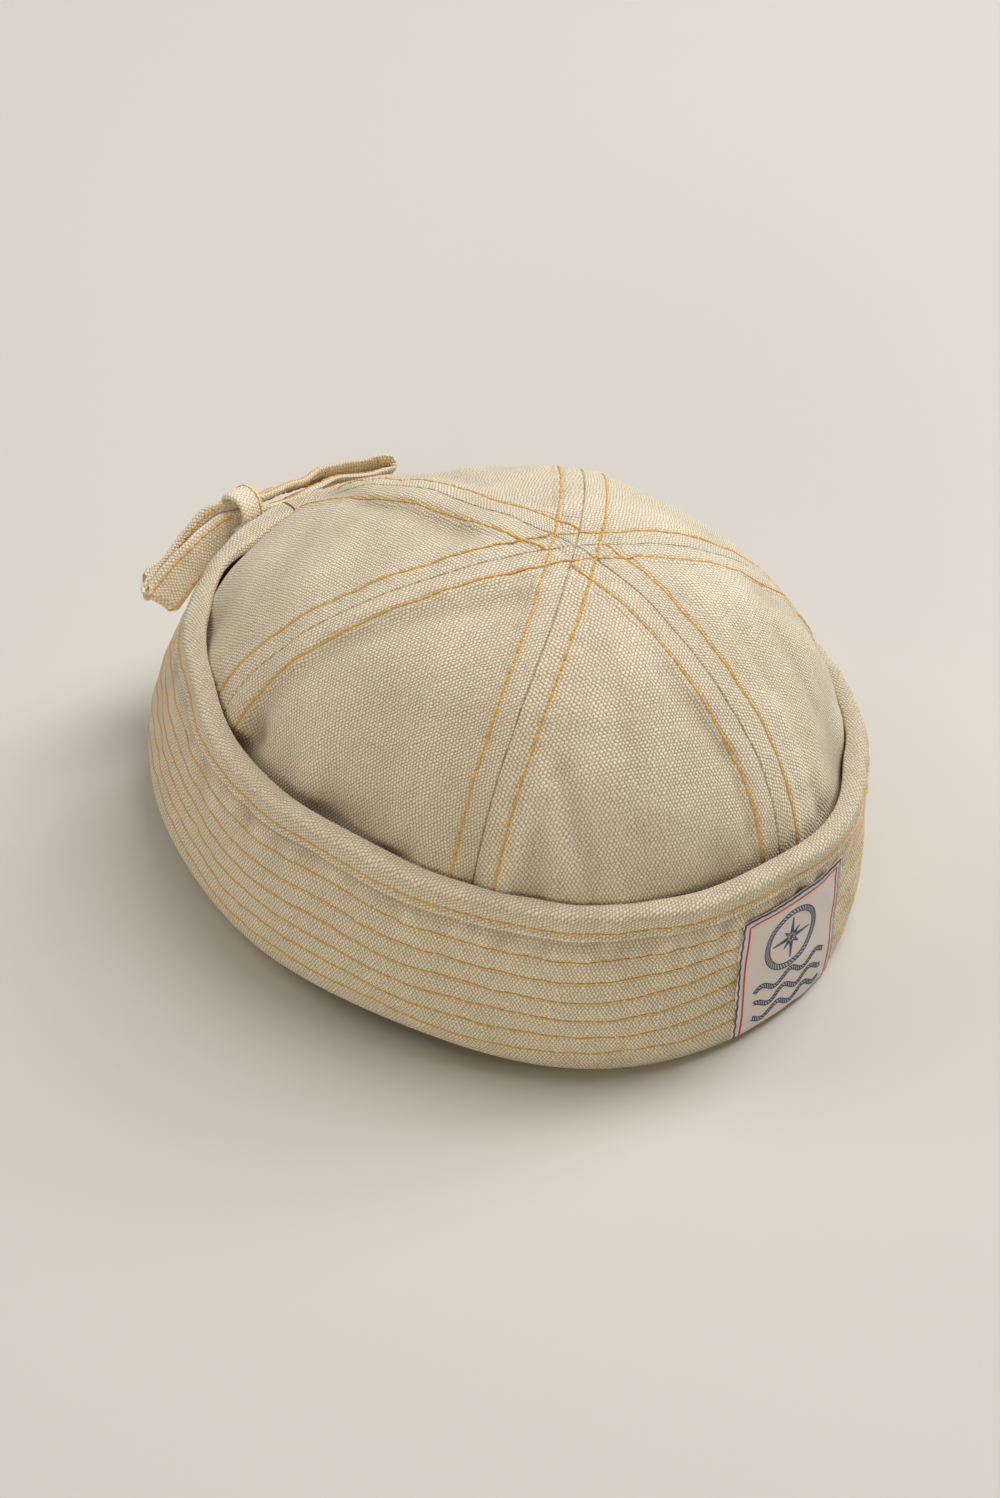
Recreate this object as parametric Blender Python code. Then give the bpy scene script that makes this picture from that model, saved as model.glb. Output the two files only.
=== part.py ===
"""Six-panel canvas sailor cap with a turned-up, row-stitched cuff.

The cap lies as it was put down: the crown is a soft dome, its lower edge sits in the trough of the
cuff's bottom fold, and the cuff stands up outside it to a rolled hem. A woven patch lies on the
front of the cuff and the hem's two flat ties are knotted in a bow at the back.

Every horizontal section is an oval named by its half width and its reach to the front (-Y) and to
the back (+Y) of the head opening's centre. Azimuth 0 is the front and it grows towards +X.
Sizes are millimetres and MM turns them into metres when a mesh is made.
"""
import math
from collections import namedtuple

import bmesh
import bpy
import numpy as np

MM = 0.001

Oval = namedtuple("Oval", "half_width front back squareness")
Around = namedtuple("Around", "mean front_back ends_sides left_right")
Dent = namedtuple("Dent", "azimuth climb half_across half_up depth")
Swell = namedtuple("Swell", "azimuth hem belly")
Tie = namedtuple("Tie", "lean out back")

# Crown: six gores of one canvas, sewn along the front, the back and every 60 degrees between.
PANEL_COUNT = 6
PANEL_STEPS = 8
CLOTH = 1.3
SEAM_GAP = 0.5
MOST_INSET = 0.2
CROWN_FOOT = Oval(82.2, 101.8, 100.9, 2.12)
CROWN_FOOT_HEIGHT = 2.8
CROWN_WIDEST = Oval(83.4, 102.4, 104.6, 2.14)
CROWN_WIDEST_HEIGHT = 21.6
APEX_X = -0.7
APEX_Y = -23.5
APEX_HEIGHT = 119.2
APEX_HOLE = 0.022
DOME_ROUNDNESS = Around(1.81, 0.07, -0.15, 0.09)
DOME_FULLNESS = Around(2.52, -0.20, 0.31, 0.02)
SKIRT_ROWS = 3
DOME_ROWS = 12

# A point inside the dome, from which every wall faces away.
MIDDLE = np.array([0.0, 0.0, 30.0])

# How finely a table of heights is read, and over how many of those steps its corners are rounded.
TABLE_STEPS = 361
TABLE_ROUNDING = 41
SMALL_TURN = 1e-3
SHARP_EDGE = 40.0

# The soft crown's main dents, and its swells as dents of negative depth. Azimuth, climb (0 at the
# widest ring, 90 at the apex) and the half spreads are in degrees, the depth in millimetres.
DENTS = (
    Dent(-104, 16, 17, 13, 3.2),
    Dent(-75, 10, 10, 9, 2.0),
    Dent(34, 22, 10, 20, 1.6),
    Dent(180, 22, 20, 17, -0.9),
    Dent(180, 50, 20, 17, -2.3),
    Dent(-120, 22, 20, 17, -0.7),
    Dent(-60, 22, 20, 17, 1.8),
    Dent(0, 50, 20, 17, 1.4),
    Dent(60, 22, 20, 17, -0.5),
    Dent(120, 50, 20, 17, -0.8),
    Dent(150, 22, 20, 17, 1.0),
    Dent(150, 50, 20, 17, 3.3),
)

# Cuff: one doubled band, turned up. The hem's centre line climbs towards the back.
HEM_LINE = Oval(81.8, 105.5, 102.0, 2.07)
HEM_RADIUS = 2.1
HEM_HEIGHTS = ((0, 58.4), (45, 54.9), (90, 57.8), (110, 58.3), (125, 65.2), (150, 65.2), (180, 67.8))
CUFF_BELLY = Oval(88.4, 105.6, 120.7, 2.2)
BELLY_HEIGHTS = ((0, 22.8), (60, 14.0), (120, 12.6), (180, 8.8))

# How far the soft cuff stands out from those ovals (in where negative), in millimetres.
SWELL_SPREAD = 22.0
SWELLS = (
    Swell(180, -0.8, -0.5),
    Swell(-150, -0.8, 0.6),
    Swell(-120, -0.6, -0.2),
    Swell(-90, 1.1, 2.1),
    Swell(-60, -1.0, -1.2),
    Swell(-30, 0.1, 0.3),
    Swell(0, 0.0, -0.2),
    Swell(30, -0.1, -0.3),
    Swell(60, 0.9, 0.3),
    Swell(90, 2.7, 0.0),
)

# The lower edge of the cap curls up a little from the floor on the left side.
CURL_HEIGHT = 4.0
CURL_FROM = -111.0
CURL_TO = -27.6
CURL_FADE = 40.0
CUFF_WALL = 2.4
FIT_GAP = 0.45
LEG_GAP = 0.75
FLOOR_OUTER = 1.5
FLOOR_INNER = -1.6
LEG_WALL = 1.6
LEG_HEIGHTS = (2.4, 7.0, 14.0)
CUFF_SEGMENTS = 60
HEM_ARC = ((-50, -70), (-5, -100), (45, -135), (90, -170))
WALL_ROWS = 5
UNDER_ROWS = 4

# The cuff is one strip whose two ends meet just beside the centre back.
SPLIT_AZIMUTH = 176.5
SPLIT_HALF_GAP = 0.45

# Woven patch on the front of the cuff.
LABEL_WIDTH = 41.0
LABEL_CENTRE_X = 1.0
LABEL_DROP = (13.0, 53.0)
LABEL_THICKNESS = 0.9
LABEL_COLUMNS = 10
LABEL_ROWS = 7
LABEL_SEARCH = (-30.0, 30.0, 241)

# Bow: flat ties, doubled and stitched. A loop runs out and folds back, a tail only runs out. The
# band's width points along its lean.
TIE_WIDTH = 12.5
TIE_THICKNESS = 2.3
TIE_STEPS_PER_SPAN = 3
KNOT_CENTRE = (-5.2, 109.6, 69.7)
KNOT_SIZE = (12.0, 10.4, 12.0)
KNOT_ROUNDING = 3.4
KNOT_ROUNDING_STEPS = 3

TIES = {
    "tie_left_loop": Tie(
        lean=(-0.33, -0.15, 0.93),
        out=((-11.2, 109.9, 60.8), (-24.2, 110.5, 58.8), (-31.0, 111.0, 56.8), (-36.4, 111.7, 54.4)),
        back=((-35.7, 115.3, 55.2), (-28.6, 115.7, 56.3), (-20.0, 115.7, 59.4), (-13.0, 115.0, 62.6)),
    ),
    "tie_left_tail": Tie(
        lean=(-0.33, -0.15, 0.93),
        out=((-6.6, 119.5, 54.4), (-17.3, 119.7, 52.2), (-29.5, 119.4, 51.2), (-38.5, 118.8, 50.9)),
        back=(),
    ),
    "tie_right_loop": Tie(
        lean=(0.08, -0.79, 0.61),
        out=((2.2, 110.9, 62.8), (22.4, 111.1, 61.4), (33.0, 110.7, 59.2), (45.6, 109.6, 55.8)),
        back=((45.8, 112.1, 59.0), (33.0, 113.2, 62.4), (20.0, 113.4, 65.0), (1.6, 112.9, 65.8)),
    ),
    "tie_right_tail": Tie(
        lean=(0.40, -0.20, 0.90),
        out=((6.0, 118.6, 53.0), (15.5, 119.4, 49.2), (27.0, 119.0, 44.2), (37.0, 117.6, 39.5)),
        back=(),
    ),
}
FOLD_TURNS = (30.0, 60.0, 90.0, 120.0, 150.0)

CANVAS = (0.60, 0.53, 0.40, 1.0)
TIE_CANVAS = (0.62, 0.55, 0.42, 1.0)
LABEL_CLOTH = (0.66, 0.60, 0.54, 1.0)
CLOTH_ROUGHNESS = 0.9


def clear_scene():
    """Remove every object that the file opened with."""
    for scene_object in list(bpy.data.objects):
        bpy.data.objects.remove(scene_object, do_unlink=True)


def make_material(name, colour):
    """Return a matt, non-metallic Principled material of the given colour."""
    material = bpy.data.materials.new(name)
    material.use_nodes = True
    shader = material.node_tree.nodes["Principled BSDF"]
    shader.inputs["Base Color"].default_value = colour
    shader.inputs["Roughness"].default_value = CLOTH_ROUGHNESS
    shader.inputs["Metallic"].default_value = 0.0
    return material


def along_oval(oval, azimuth):
    """Return x and y on an oval, whose sides are squarer the higher its squareness."""
    across, ahead = np.sin(azimuth), np.cos(azimuth)
    power = oval.squareness
    scale = (np.abs(across) ** power + np.abs(ahead) ** power) ** (1.0 / power)
    reach = np.where(ahead > 0.0, oval.front, oval.back)
    return oval.half_width * across / scale, -reach * ahead / scale


def oval_points(oval, azimuth, height):
    """Return points of an oval, shape (azimuths, 3), at one height or a height each."""
    x, y = along_oval(oval, azimuth)
    return np.stack([x, y, np.broadcast_to(height, x.shape)], axis=-1)


def wrapped(degrees):
    """Return angles in degrees between -180 and 180."""
    return (degrees + 180.0) % 360.0 - 180.0


def vary(around, azimuth):
    """Return a value that changes smoothly round the cap."""
    return (around.mean + around.front_back * np.cos(azimuth)
            + around.ends_sides * np.cos(2.0 * azimuth) + around.left_right * np.sin(azimuth))


def swell(azimuth, which):
    """Return how far the hem or the belly stands out at each azimuth, from the table of swells."""
    reach = np.zeros_like(azimuth)
    for row in SWELLS:
        turn = wrapped(np.degrees(azimuth) - row.azimuth) / SWELL_SPREAD
        reach = reach + getattr(row, which) * np.exp(-turn ** 2)
    return reach[..., None]


def curl_up(points):
    """Return points with the cap's lower edge lifted where it curls up from the floor."""
    turn = np.degrees(np.arctan2(points[..., 0], -points[..., 1]))
    share = np.clip((turn - CURL_FROM) / (CURL_TO - CURL_FROM), 0.0, 1.0)
    near = np.clip(1.0 - points[..., 2] / CURL_FADE, 0.0, 1.0)
    lifted = points.copy()
    lifted[..., 2] += CURL_HEIGHT * np.sin(math.pi * share) ** 2 * near ** 2
    return lifted


def outward(oval, azimuth):
    """Return the oval's horizontal outward unit normals, shape (azimuths, 3)."""
    ahead = oval_points(oval, azimuth + SMALL_TURN, 0.0)
    behind = oval_points(oval, azimuth - SMALL_TURN, 0.0)
    tangent = ahead - behind
    return unit(np.stack([tangent[..., 1], -tangent[..., 0], np.zeros_like(azimuth)], axis=-1))


def height_from(table, azimuth):
    """Read a table of (azimuth in degrees, height) rows, the same on both sides of the cap."""
    turn = wrapped(np.degrees(azimuth))
    stops = [row[0] for row in table]
    fine = np.linspace(0.0, 180.0, TABLE_STEPS)
    rough = np.interp(fine, stops, [row[1] for row in table])
    kernel = np.hanning(TABLE_ROUNDING)
    half = TABLE_ROUNDING // 2
    padded = np.concatenate([rough[half:0:-1], rough, rough[-2:-2 - half:-1]])
    smooth = np.convolve(padded, kernel / kernel.sum(), mode="valid")
    return np.interp(np.abs(turn), fine, smooth)


def crown_skirt(azimuth, height):
    """Return the crown's outer surface between its foot and its widest ring."""
    share = (height - CROWN_FOOT_HEIGHT) / (CROWN_WIDEST_HEIGHT - CROWN_FOOT_HEIGHT)
    flare = 1.0 - (1.0 - share) ** 2
    foot = oval_points(CROWN_FOOT, azimuth, 0.0)
    widest = oval_points(CROWN_WIDEST, azimuth, 0.0)
    points = foot + (widest - foot) * flare
    points[..., 2] = height
    return points


def crown_dome(azimuth, climb):
    """Return the dome's outer surface, climb 0 at the widest ring and pi / 2 at the apex.

    The section is a superellipse whose centre slides towards the apex as it climbs.
    """
    spread = np.cos(climb) ** (2.0 / vary(DOME_ROUNDNESS, azimuth))
    rise = np.sin(climb) ** (2.0 / vary(DOME_FULLNESS, azimuth))
    x, y = along_oval(CROWN_WIDEST, azimuth)
    slide = 1.0 - spread ** 2
    height = CROWN_WIDEST_HEIGHT + (APEX_HEIGHT - CROWN_WIDEST_HEIGHT) * rise
    return np.stack([x * spread + APEX_X * slide, y * spread + APEX_Y * slide, height], axis=-1)


def dent_depth(azimuth, climb):
    """Return how far the soft dome sinks at each point, from the table of dents."""
    depth = np.zeros(np.broadcast(azimuth, climb).shape)
    for dent in DENTS:
        turn = wrapped(np.degrees(azimuth) - dent.azimuth)
        lift = np.degrees(climb) - dent.climb
        near = (turn / dent.half_across) ** 2 + (lift / dent.half_up) ** 2
        depth = depth + dent.depth * np.exp(-near)
    return depth


def unit(vectors):
    """Return the vectors scaled to length 1."""
    return vectors / np.linalg.norm(vectors, axis=-1, keepdims=True)


def surface_normals(grid):
    """Return unit normals of a (rows, columns, 3) grid, pointing away from the cap's middle."""
    normal = unit(np.cross(np.gradient(grid, axis=1), np.gradient(grid, axis=0)))
    away = np.sum(normal * (grid - MIDDLE), axis=-1).mean()
    return normal if away > 0.0 else -normal


def shell_faces(rows, columns):
    """Return the quads of a closed shell made of an outer and an inner grid of one size."""
    count = rows * columns
    faces = []
    for i in range(rows - 1):
        for j in range(columns - 1):
            a, b = i * columns + j, i * columns + j + 1
            c, d = b + columns, a + columns
            faces.append((a, b, c, d))
            faces.append((count + d, count + c, count + b, count + a))
    for i in range(rows - 1):
        for column in (0, columns - 1):
            a, d = i * columns + column, (i + 1) * columns + column
            faces.append((a, d, count + d, count + a))
    for j in range(columns - 1):
        for row in (0, rows - 1):
            a, b = row * columns + j, row * columns + j + 1
            faces.append((a, b, count + b, count + a))
    return faces


def make_object(name, points, faces, material):
    """Make one mesh object from points in millimetres, with its faces turned outwards."""
    mesh = bpy.data.meshes.new(name)
    mesh.from_pydata((np.asarray(points) * MM).tolist(), [], faces)
    shape = bmesh.new()
    shape.from_mesh(mesh)
    bmesh.ops.recalc_face_normals(shape, faces=shape.faces)
    shape.to_mesh(mesh)
    shape.free()
    mesh.materials.append(material)
    mesh.shade_smooth()
    mesh.set_sharp_from_angle(angle=math.radians(SHARP_EDGE))
    made = bpy.data.objects.new(name, mesh)
    bpy.context.scene.collection.objects.link(made)
    return made


def make_shell(name, outer, inner, material):
    """Make a closed shell object between two (rows, columns, 3) grids."""
    rows, columns = outer.shape[:2]
    points = np.concatenate([outer.reshape(-1, 3), inner.reshape(-1, 3)])
    return make_object(name, points, shell_faces(rows, columns), material)


def crown_grid(azimuths, heights, climbs):
    """Return the crown's outer surface and its normals, with the dents pressed in.

    azimuths has a row for each height of the skirt and each climb of the dome, so that a panel
    can be narrowed by the same seam gap from its foot to its top.
    """
    rows = [crown_skirt(turn, height) for turn, height in zip(azimuths, heights)]
    dome = zip(azimuths[len(heights):], climbs)
    rows += [crown_dome(turn, np.full_like(turn, climb)) for turn, climb in dome]
    grid = np.array(rows)
    sink = dent_depth(azimuths[len(heights):], climbs[:, None])
    grid[len(heights):] -= surface_normals(grid)[len(heights):] * sink[..., None]
    return grid, surface_normals(grid)


def make_panel(index, material):
    """Make one gore of the crown, from its foot in the cuff's trough up to the apex.

    The grid is worked out one column past both seams, so that neighbours have the same normals
    along their seam, and each row is drawn in by the half gap measured square to the seam.
    """
    width = math.tau / PANEL_COUNT
    step = width / PANEL_STEPS
    start = index * width
    heights = np.linspace(CROWN_FOOT_HEIGHT, CROWN_WIDEST_HEIGHT, SKIRT_ROWS + 1)[:-1]
    last_climb = math.acos(APEX_HOLE ** (DOME_ROUNDNESS.mean / 2.0))
    climbs = np.linspace(0.0, last_climb, DOME_ROWS + 1)
    share = np.linspace(0.0, 1.0, PANEL_STEPS + 1)
    full = start + np.concatenate([[-step], share * width, [width + step]])
    full = np.broadcast_to(full, (len(heights) + len(climbs), full.size))
    grid, normals = crown_grid(full, heights, climbs)
    across = np.gradient(grid, axis=1) / step
    square = np.linalg.norm(np.cross(across, unit(np.gradient(grid, axis=0))), axis=-1)
    left = np.minimum(0.5 * SEAM_GAP / square[:, 1], MOST_INSET * width)[:, None]
    right = np.minimum(0.5 * SEAM_GAP / square[:, -2], MOST_INSET * width)[:, None]
    inner = start + left + share * (width - left - right)
    azimuths = np.concatenate([inner[:, :1] - step, inner, inner[:, -1:] + step], axis=1)
    grid, normals = (part[:, 1:-1] for part in crown_grid(azimuths, heights, climbs))
    inside = curl_up(grid - normals * CLOTH)
    return make_shell(f"crown_panel_{index + 1}", curl_up(grid), inside, material)


def cuff_grids(azimuth):
    """Return the cuff's outside and inside, each shape (rows, azimuths, 3).

    Rows run from the rolled hem down the wall to the belly, under to the floor and up the short
    leg inside the crown. Both grids have the same rows, so their rims close the band.
    """
    up = np.array([0.0, 0.0, 1.0])
    flat = np.array([1.0, 1.0, 0.0])
    aside = outward(HEM_LINE, azimuth)
    hem = oval_points(HEM_LINE, azimuth, height_from(HEM_HEIGHTS, azimuth))
    hem = hem + aside * swell(azimuth, "hem")
    outside, inside = [], []
    for outer_angle, inner_angle in HEM_ARC:
        for rows, angle in ((outside, outer_angle), (inside, inner_angle)):
            turn = math.radians(angle)
            rows.append(hem + HEM_RADIUS * (math.sin(turn) * aside + math.cos(turn) * up))
    belly_aside = outward(CUFF_BELLY, azimuth)
    belly = oval_points(CUFF_BELLY, azimuth, height_from(BELLY_HEIGHTS, azimuth))
    belly = belly + belly_aside * swell(azimuth, "belly")
    hem_inside = hem + (HEM_RADIUS - CUFF_WALL) * aside - HEM_RADIUS * up
    for rows, top, foot in (
        (outside, hem + HEM_RADIUS * aside, belly),
        (inside, hem_inside, belly - CUFF_WALL * belly_aside),
    ):
        for share in np.linspace(0.0, 1.0, WALL_ROWS + 1)[1:]:
            bulge = math.sin(share * math.pi / 2.0)
            rows.append(top + (foot - top) * (bulge * flat + share * up))
    foot_ring = oval_points(CROWN_FOOT, azimuth, 0.0)
    foot_aside = outward(CROWN_FOOT, azimuth)
    floor = foot_ring + FLOOR_OUTER * foot_aside
    trough = foot_ring + FIT_GAP * foot_aside + CUFF_WALL * up
    for rows, top, foot in (
        (outside, belly, floor),
        (inside, belly - CUFF_WALL * belly_aside, trough),
    ):
        for share in np.linspace(0.0, 1.0, UNDER_ROWS + 1)[1:]:
            turn = share * math.pi / 2.0
            level = foot + (top - foot) * (1.0 - math.sin(turn))
            reach = foot + (top - foot) * math.cos(turn)
            rows.append(reach * flat + level * up)
    outside.append(foot_ring + FLOOR_INNER * foot_aside)
    inside.append(foot_ring - CLOTH * foot_aside + CUFF_WALL * up)
    for height in LEG_HEIGHTS:
        face = crown_skirt(azimuth, max(height, CROWN_FOOT_HEIGHT))
        face[..., 2] = height
        face = face - (CLOTH + LEG_GAP) * foot_aside
        inside.append(face)
        outside.append(face - LEG_WALL * foot_aside)
    return curl_up(np.array(outside)), curl_up(np.array(inside))


def make_cuff(material):
    """Make the cuff as one band whose two ends face each other beside the centre back."""
    half_gap = SPLIT_HALF_GAP / HEM_LINE.half_width
    split = math.radians(SPLIT_AZIMUTH)
    azimuth = np.linspace(split - math.tau + half_gap, split - half_gap, CUFF_SEGMENTS + 1)
    outside, inside = cuff_grids(azimuth)
    return make_shell("cuff", outside, inside, material)


def along_cuff(azimuth, drops):
    """Return points on the cuff's outside at given path lengths below the top of the hem."""
    outside = cuff_grids(azimuth)[0][1:]
    steps = np.linalg.norm(np.diff(outside, axis=0), axis=-1)
    length = np.concatenate([np.zeros((1, azimuth.size)), np.cumsum(steps, axis=0)])
    points = np.empty((len(drops), azimuth.size, 3))
    for column in range(azimuth.size):
        for axis in range(3):
            path = outside[:, column, axis]
            points[:, column, axis] = np.interp(drops, length[:, column], path)
    return points


def make_label(material):
    """Make the woven patch, which follows the cuff's front with a hair's gap under it."""
    fine = np.radians(np.linspace(*LABEL_SEARCH))
    fine_x = along_oval(CUFF_BELLY, fine)[0]
    left, right = LABEL_CENTRE_X - LABEL_WIDTH / 2.0, LABEL_CENTRE_X + LABEL_WIDTH / 2.0
    azimuth = np.interp(np.linspace(left, right, LABEL_COLUMNS + 1), fine_x, fine)
    drops = np.linspace(*LABEL_DROP, LABEL_ROWS + 1)
    skin = along_cuff(azimuth, drops)
    normals = surface_normals(skin)
    back = skin + normals * FIT_GAP
    return make_shell("front_label", back + normals * LABEL_THICKNESS, back, material)


def smooth_path(points, steps):
    """Return a smooth curve through the rows of points, with steps spans between two rows."""
    padded = np.vstack([2 * points[0] - points[1], points, 2 * points[-1] - points[-2]])
    path = []
    for i in range(len(points) - 1):
        before, start, end, after = padded[i:i + 4]
        for t in np.arange(steps) / steps:
            path.append(0.5 * (2 * start + (end - before) * t
                               + (2 * before - 5 * start + 4 * end - after) * t ** 2
                               + (3 * start - before - 3 * end + after) * t ** 3))
    path.append(points[-1])
    return np.array(path)


def tie_path(tie):
    """Return the tie's path, with a half circle between its way out and its way back."""
    out = smooth_path(np.array(tie.out), TIE_STEPS_PER_SPAN)
    if not tie.back:
        return out
    back = smooth_path(np.array(tie.back), TIE_STEPS_PER_SPAN)
    middle, arm = (out[-1] + back[0]) / 2.0, (out[-1] - back[0]) / 2.0
    square = unit(np.cross(np.array(tie.lean), arm))
    reach = square * np.linalg.norm(arm) * np.sign(square @ (out[-1] - out[-2]))
    turns = np.radians(FOLD_TURNS)[:, None]
    return np.vstack([out, middle + arm * np.cos(turns) + reach * np.sin(turns), back])


def directions(path):
    """Return the path's unit tangents, each halfway between the spans before and after it."""
    spans = unit(np.diff(path, axis=0))
    return unit(np.vstack([spans[:1], spans[:-1] + spans[1:], spans[-1:]]))


def make_band(name, tie, material):
    """Make a flat band along the tie's path, with its width leaning the way that it says."""
    centre = tie_path(tie)
    lean = np.array(tie.lean)
    along = directions(centre)
    width = unit(lean - (along @ lean)[:, None] * along)
    face = np.cross(along, width)
    half_width, half_thickness = TIE_WIDTH / 2.0, TIE_THICKNESS / 2.0
    edges = np.stack([centre - width * half_width, centre, centre + width * half_width], axis=1)
    thick = face[:, None, :] * half_thickness
    return make_shell(name, edges + thick, edges - thick, material)


def make_knot(material):
    """Make the knot's outer form, a softly rounded block against the outside of the hem."""
    mesh = bpy.data.meshes.new("tie_knot")
    shape = bmesh.new()
    bmesh.ops.create_cube(shape, size=1.0)
    bmesh.ops.scale(shape, vec=[side * MM for side in KNOT_SIZE], verts=shape.verts)
    bmesh.ops.bevel(shape, geom=shape.edges[:], offset=KNOT_ROUNDING * MM,
                    segments=KNOT_ROUNDING_STEPS, profile=0.5, affect="EDGES")
    bmesh.ops.translate(shape, vec=[place * MM for place in KNOT_CENTRE], verts=shape.verts)
    shape.to_mesh(mesh)
    shape.free()
    mesh.materials.append(material)
    mesh.shade_smooth()
    made = bpy.data.objects.new("tie_knot", mesh)
    bpy.context.scene.collection.objects.link(made)
    return made


def stand_on_origin(pieces):
    """Move all the meshes together, so that the origin is under the middle of the whole cap."""
    corners = []
    for piece in pieces:
        place = np.empty(len(piece.data.vertices) * 3)
        piece.data.vertices.foreach_get("co", place)
        place = place.reshape(-1, 3)
        corners += [place.min(axis=0), place.max(axis=0)]
    low, high = np.min(corners, axis=0), np.max(corners, axis=0)
    shift = np.array([(low[0] + high[0]) / 2.0, (low[1] + high[1]) / 2.0, low[2]])
    for piece in pieces:
        place = np.empty(len(piece.data.vertices) * 3)
        piece.data.vertices.foreach_get("co", place)
        place = (place.reshape(-1, 3) - shift).ravel()
        piece.data.vertices.foreach_set("co", place)
        piece.data.update()


def build_cap():
    """Build every piece of the cap and stand it on the origin."""
    clear_scene()
    canvas = make_material("canvas", CANVAS)
    tie_canvas = make_material("tie_canvas", TIE_CANVAS)
    label_cloth = make_material("label_cloth", LABEL_CLOTH)
    pieces = [make_panel(index, canvas) for index in range(PANEL_COUNT)]
    pieces.append(make_cuff(canvas))
    pieces.append(make_label(label_cloth))
    pieces.append(make_knot(tie_canvas))
    for name, tie in TIES.items():
        pieces.append(make_band(name, tie, tie_canvas))
    stand_on_origin(pieces)


build_cap()
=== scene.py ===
"""A six-gore canvas sailor cap with a turned-up, row-stitched cuff, dressed over its frame.

The sewn form repeats the CAD's ovals and curves in millimetres, on a fine grid, and adds what
cloth does: seams pressed open with a groove between them, topstitched rows that pull the cloth
in, puckers, a rolled hem, a woven patch and a bow of flat ties. Azimuth 0 is the front (-Y) and
it grows towards +X. Points are made in millimetres about the head opening's centre and are moved
into the frame, in metres, when a mesh is made.
"""

import logging
import math
from dataclasses import dataclass
from enum import Enum
from functools import cached_property

import bmesh
import bpy
import numpy as np
from mathutils import Matrix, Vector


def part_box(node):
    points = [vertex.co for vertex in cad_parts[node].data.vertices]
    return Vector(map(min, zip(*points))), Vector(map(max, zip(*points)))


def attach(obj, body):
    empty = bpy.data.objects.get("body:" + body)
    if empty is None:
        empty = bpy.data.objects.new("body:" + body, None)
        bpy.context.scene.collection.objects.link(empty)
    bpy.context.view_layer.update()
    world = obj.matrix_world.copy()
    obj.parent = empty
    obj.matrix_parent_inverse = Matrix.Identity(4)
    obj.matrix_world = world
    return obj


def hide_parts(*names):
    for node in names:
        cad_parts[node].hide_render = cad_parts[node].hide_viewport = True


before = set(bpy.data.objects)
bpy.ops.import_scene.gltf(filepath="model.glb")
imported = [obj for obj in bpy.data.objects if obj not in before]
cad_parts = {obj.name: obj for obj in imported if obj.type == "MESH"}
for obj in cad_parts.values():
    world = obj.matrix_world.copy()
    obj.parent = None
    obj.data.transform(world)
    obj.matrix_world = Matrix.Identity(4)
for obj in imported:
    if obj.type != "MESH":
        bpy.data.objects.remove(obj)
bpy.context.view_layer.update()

log = logging.getLogger("sailor_cap")

Array = np.ndarray
Colour = tuple[float, float, float, float]
MM = 0.001
UP = np.array([0.0, 0.0, 1.0])
LEVEL = np.array([1.0, 1.0, 0.0])
BODY = "root"
WELD = 1e-6  # Points closer than this, in metres, are welded.

# The height of the hem's centre line at azimuths in degrees, the same on both sides.
HEM_HEIGHTS = ((0, 58.4), (45, 54.9), (90, 57.8), (110, 58.3), (125, 65.2), (150, 65.2),
               (180, 67.8))

# The tie's knot in the sewn form's own millimetres: its place in the frame gives the shift.
KNOT_CENTRE = np.array([-5.2, 109.6, 69.7])

# Where the cap's lower edge curls up from the floor: azimuths in degrees, millimetres.
CURL_FROM, CURL_TO = -111.0, -27.6
CURL_LIFT = 4.0
CURL_REACH = 40.0

# The scale of the crown's flat chart, and the step for slopes taken from differences.
MM_PER_DEGREE = 1.67
SMALL_TURN = 1e-3


# --- Small tools for curves, fields and grids ---

def unit(vectors: Array) -> Array:
    """Return the vectors scaled to length 1."""
    return vectors / np.maximum(np.linalg.norm(vectors, axis=-1, keepdims=True), 1e-12)


def wrapped(degrees: Array) -> Array:
    """Return angles in degrees between -180 and 180."""
    return (degrees + 180.0) % 360.0 - 180.0


def smooth_step(low: float, high: float, value: Array) -> Array:
    """Return 0 below low, 1 above high and 3 t^2 - 2 t^3 between them."""
    t = np.clip((value - low) / (high - low), 0.0, 1.0)
    return t * t * (3.0 - 2.0 * t)


def bell(value: Array, centre: float, half_width: float) -> Array:
    """Return exp(-((value - centre) / half_width)^2)."""
    return np.exp(-(((value - centre) / half_width) ** 2))


@dataclass(frozen=True)
class Wave:
    """A soft random field: its size, its usual length from crest to crest in mm and its seed."""

    size: float
    length: float
    seed: int
    count: int = 9

    def at(self, points: Array) -> Array:
        """Return the field, the sum of count plane waves, at points of shape (..., n) in mm."""
        rng = np.random.default_rng(self.seed)
        heading = unit(rng.normal(size=(self.count, points.shape[-1])))
        number = 2.0 * math.pi / (self.length * rng.uniform(0.75, 1.5, self.count))
        phase = rng.uniform(0.0, 2.0 * math.pi, self.count)
        crests = np.sin(points @ (heading * number[:, None]).T + phase).sum(axis=-1)
        return self.size * crests / math.sqrt(self.count)


@dataclass(frozen=True)
class Bell:
    """A bell curve: its size, negative for a hollow, its centre and its half width."""

    size: float
    centre: float
    half_width: float

    def at(self, value: Array) -> Array:
        """Return the curve at the value."""
        return self.size * bell(value, self.centre, self.half_width)

    def round_at(self, degrees: Array) -> Array:
        """Return the curve at an angle, the centre being an angle too."""
        return self.size * bell(wrapped(degrees - self.centre), 0.0, self.half_width)


def soften(values: Array, reach: int) -> Array:
    """Return the values less reach at each end, smoothed by a Hann window over them."""
    kernel = np.hanning(2 * reach + 1)
    return np.convolve(values, kernel / kernel.sum(), mode="valid")


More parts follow.
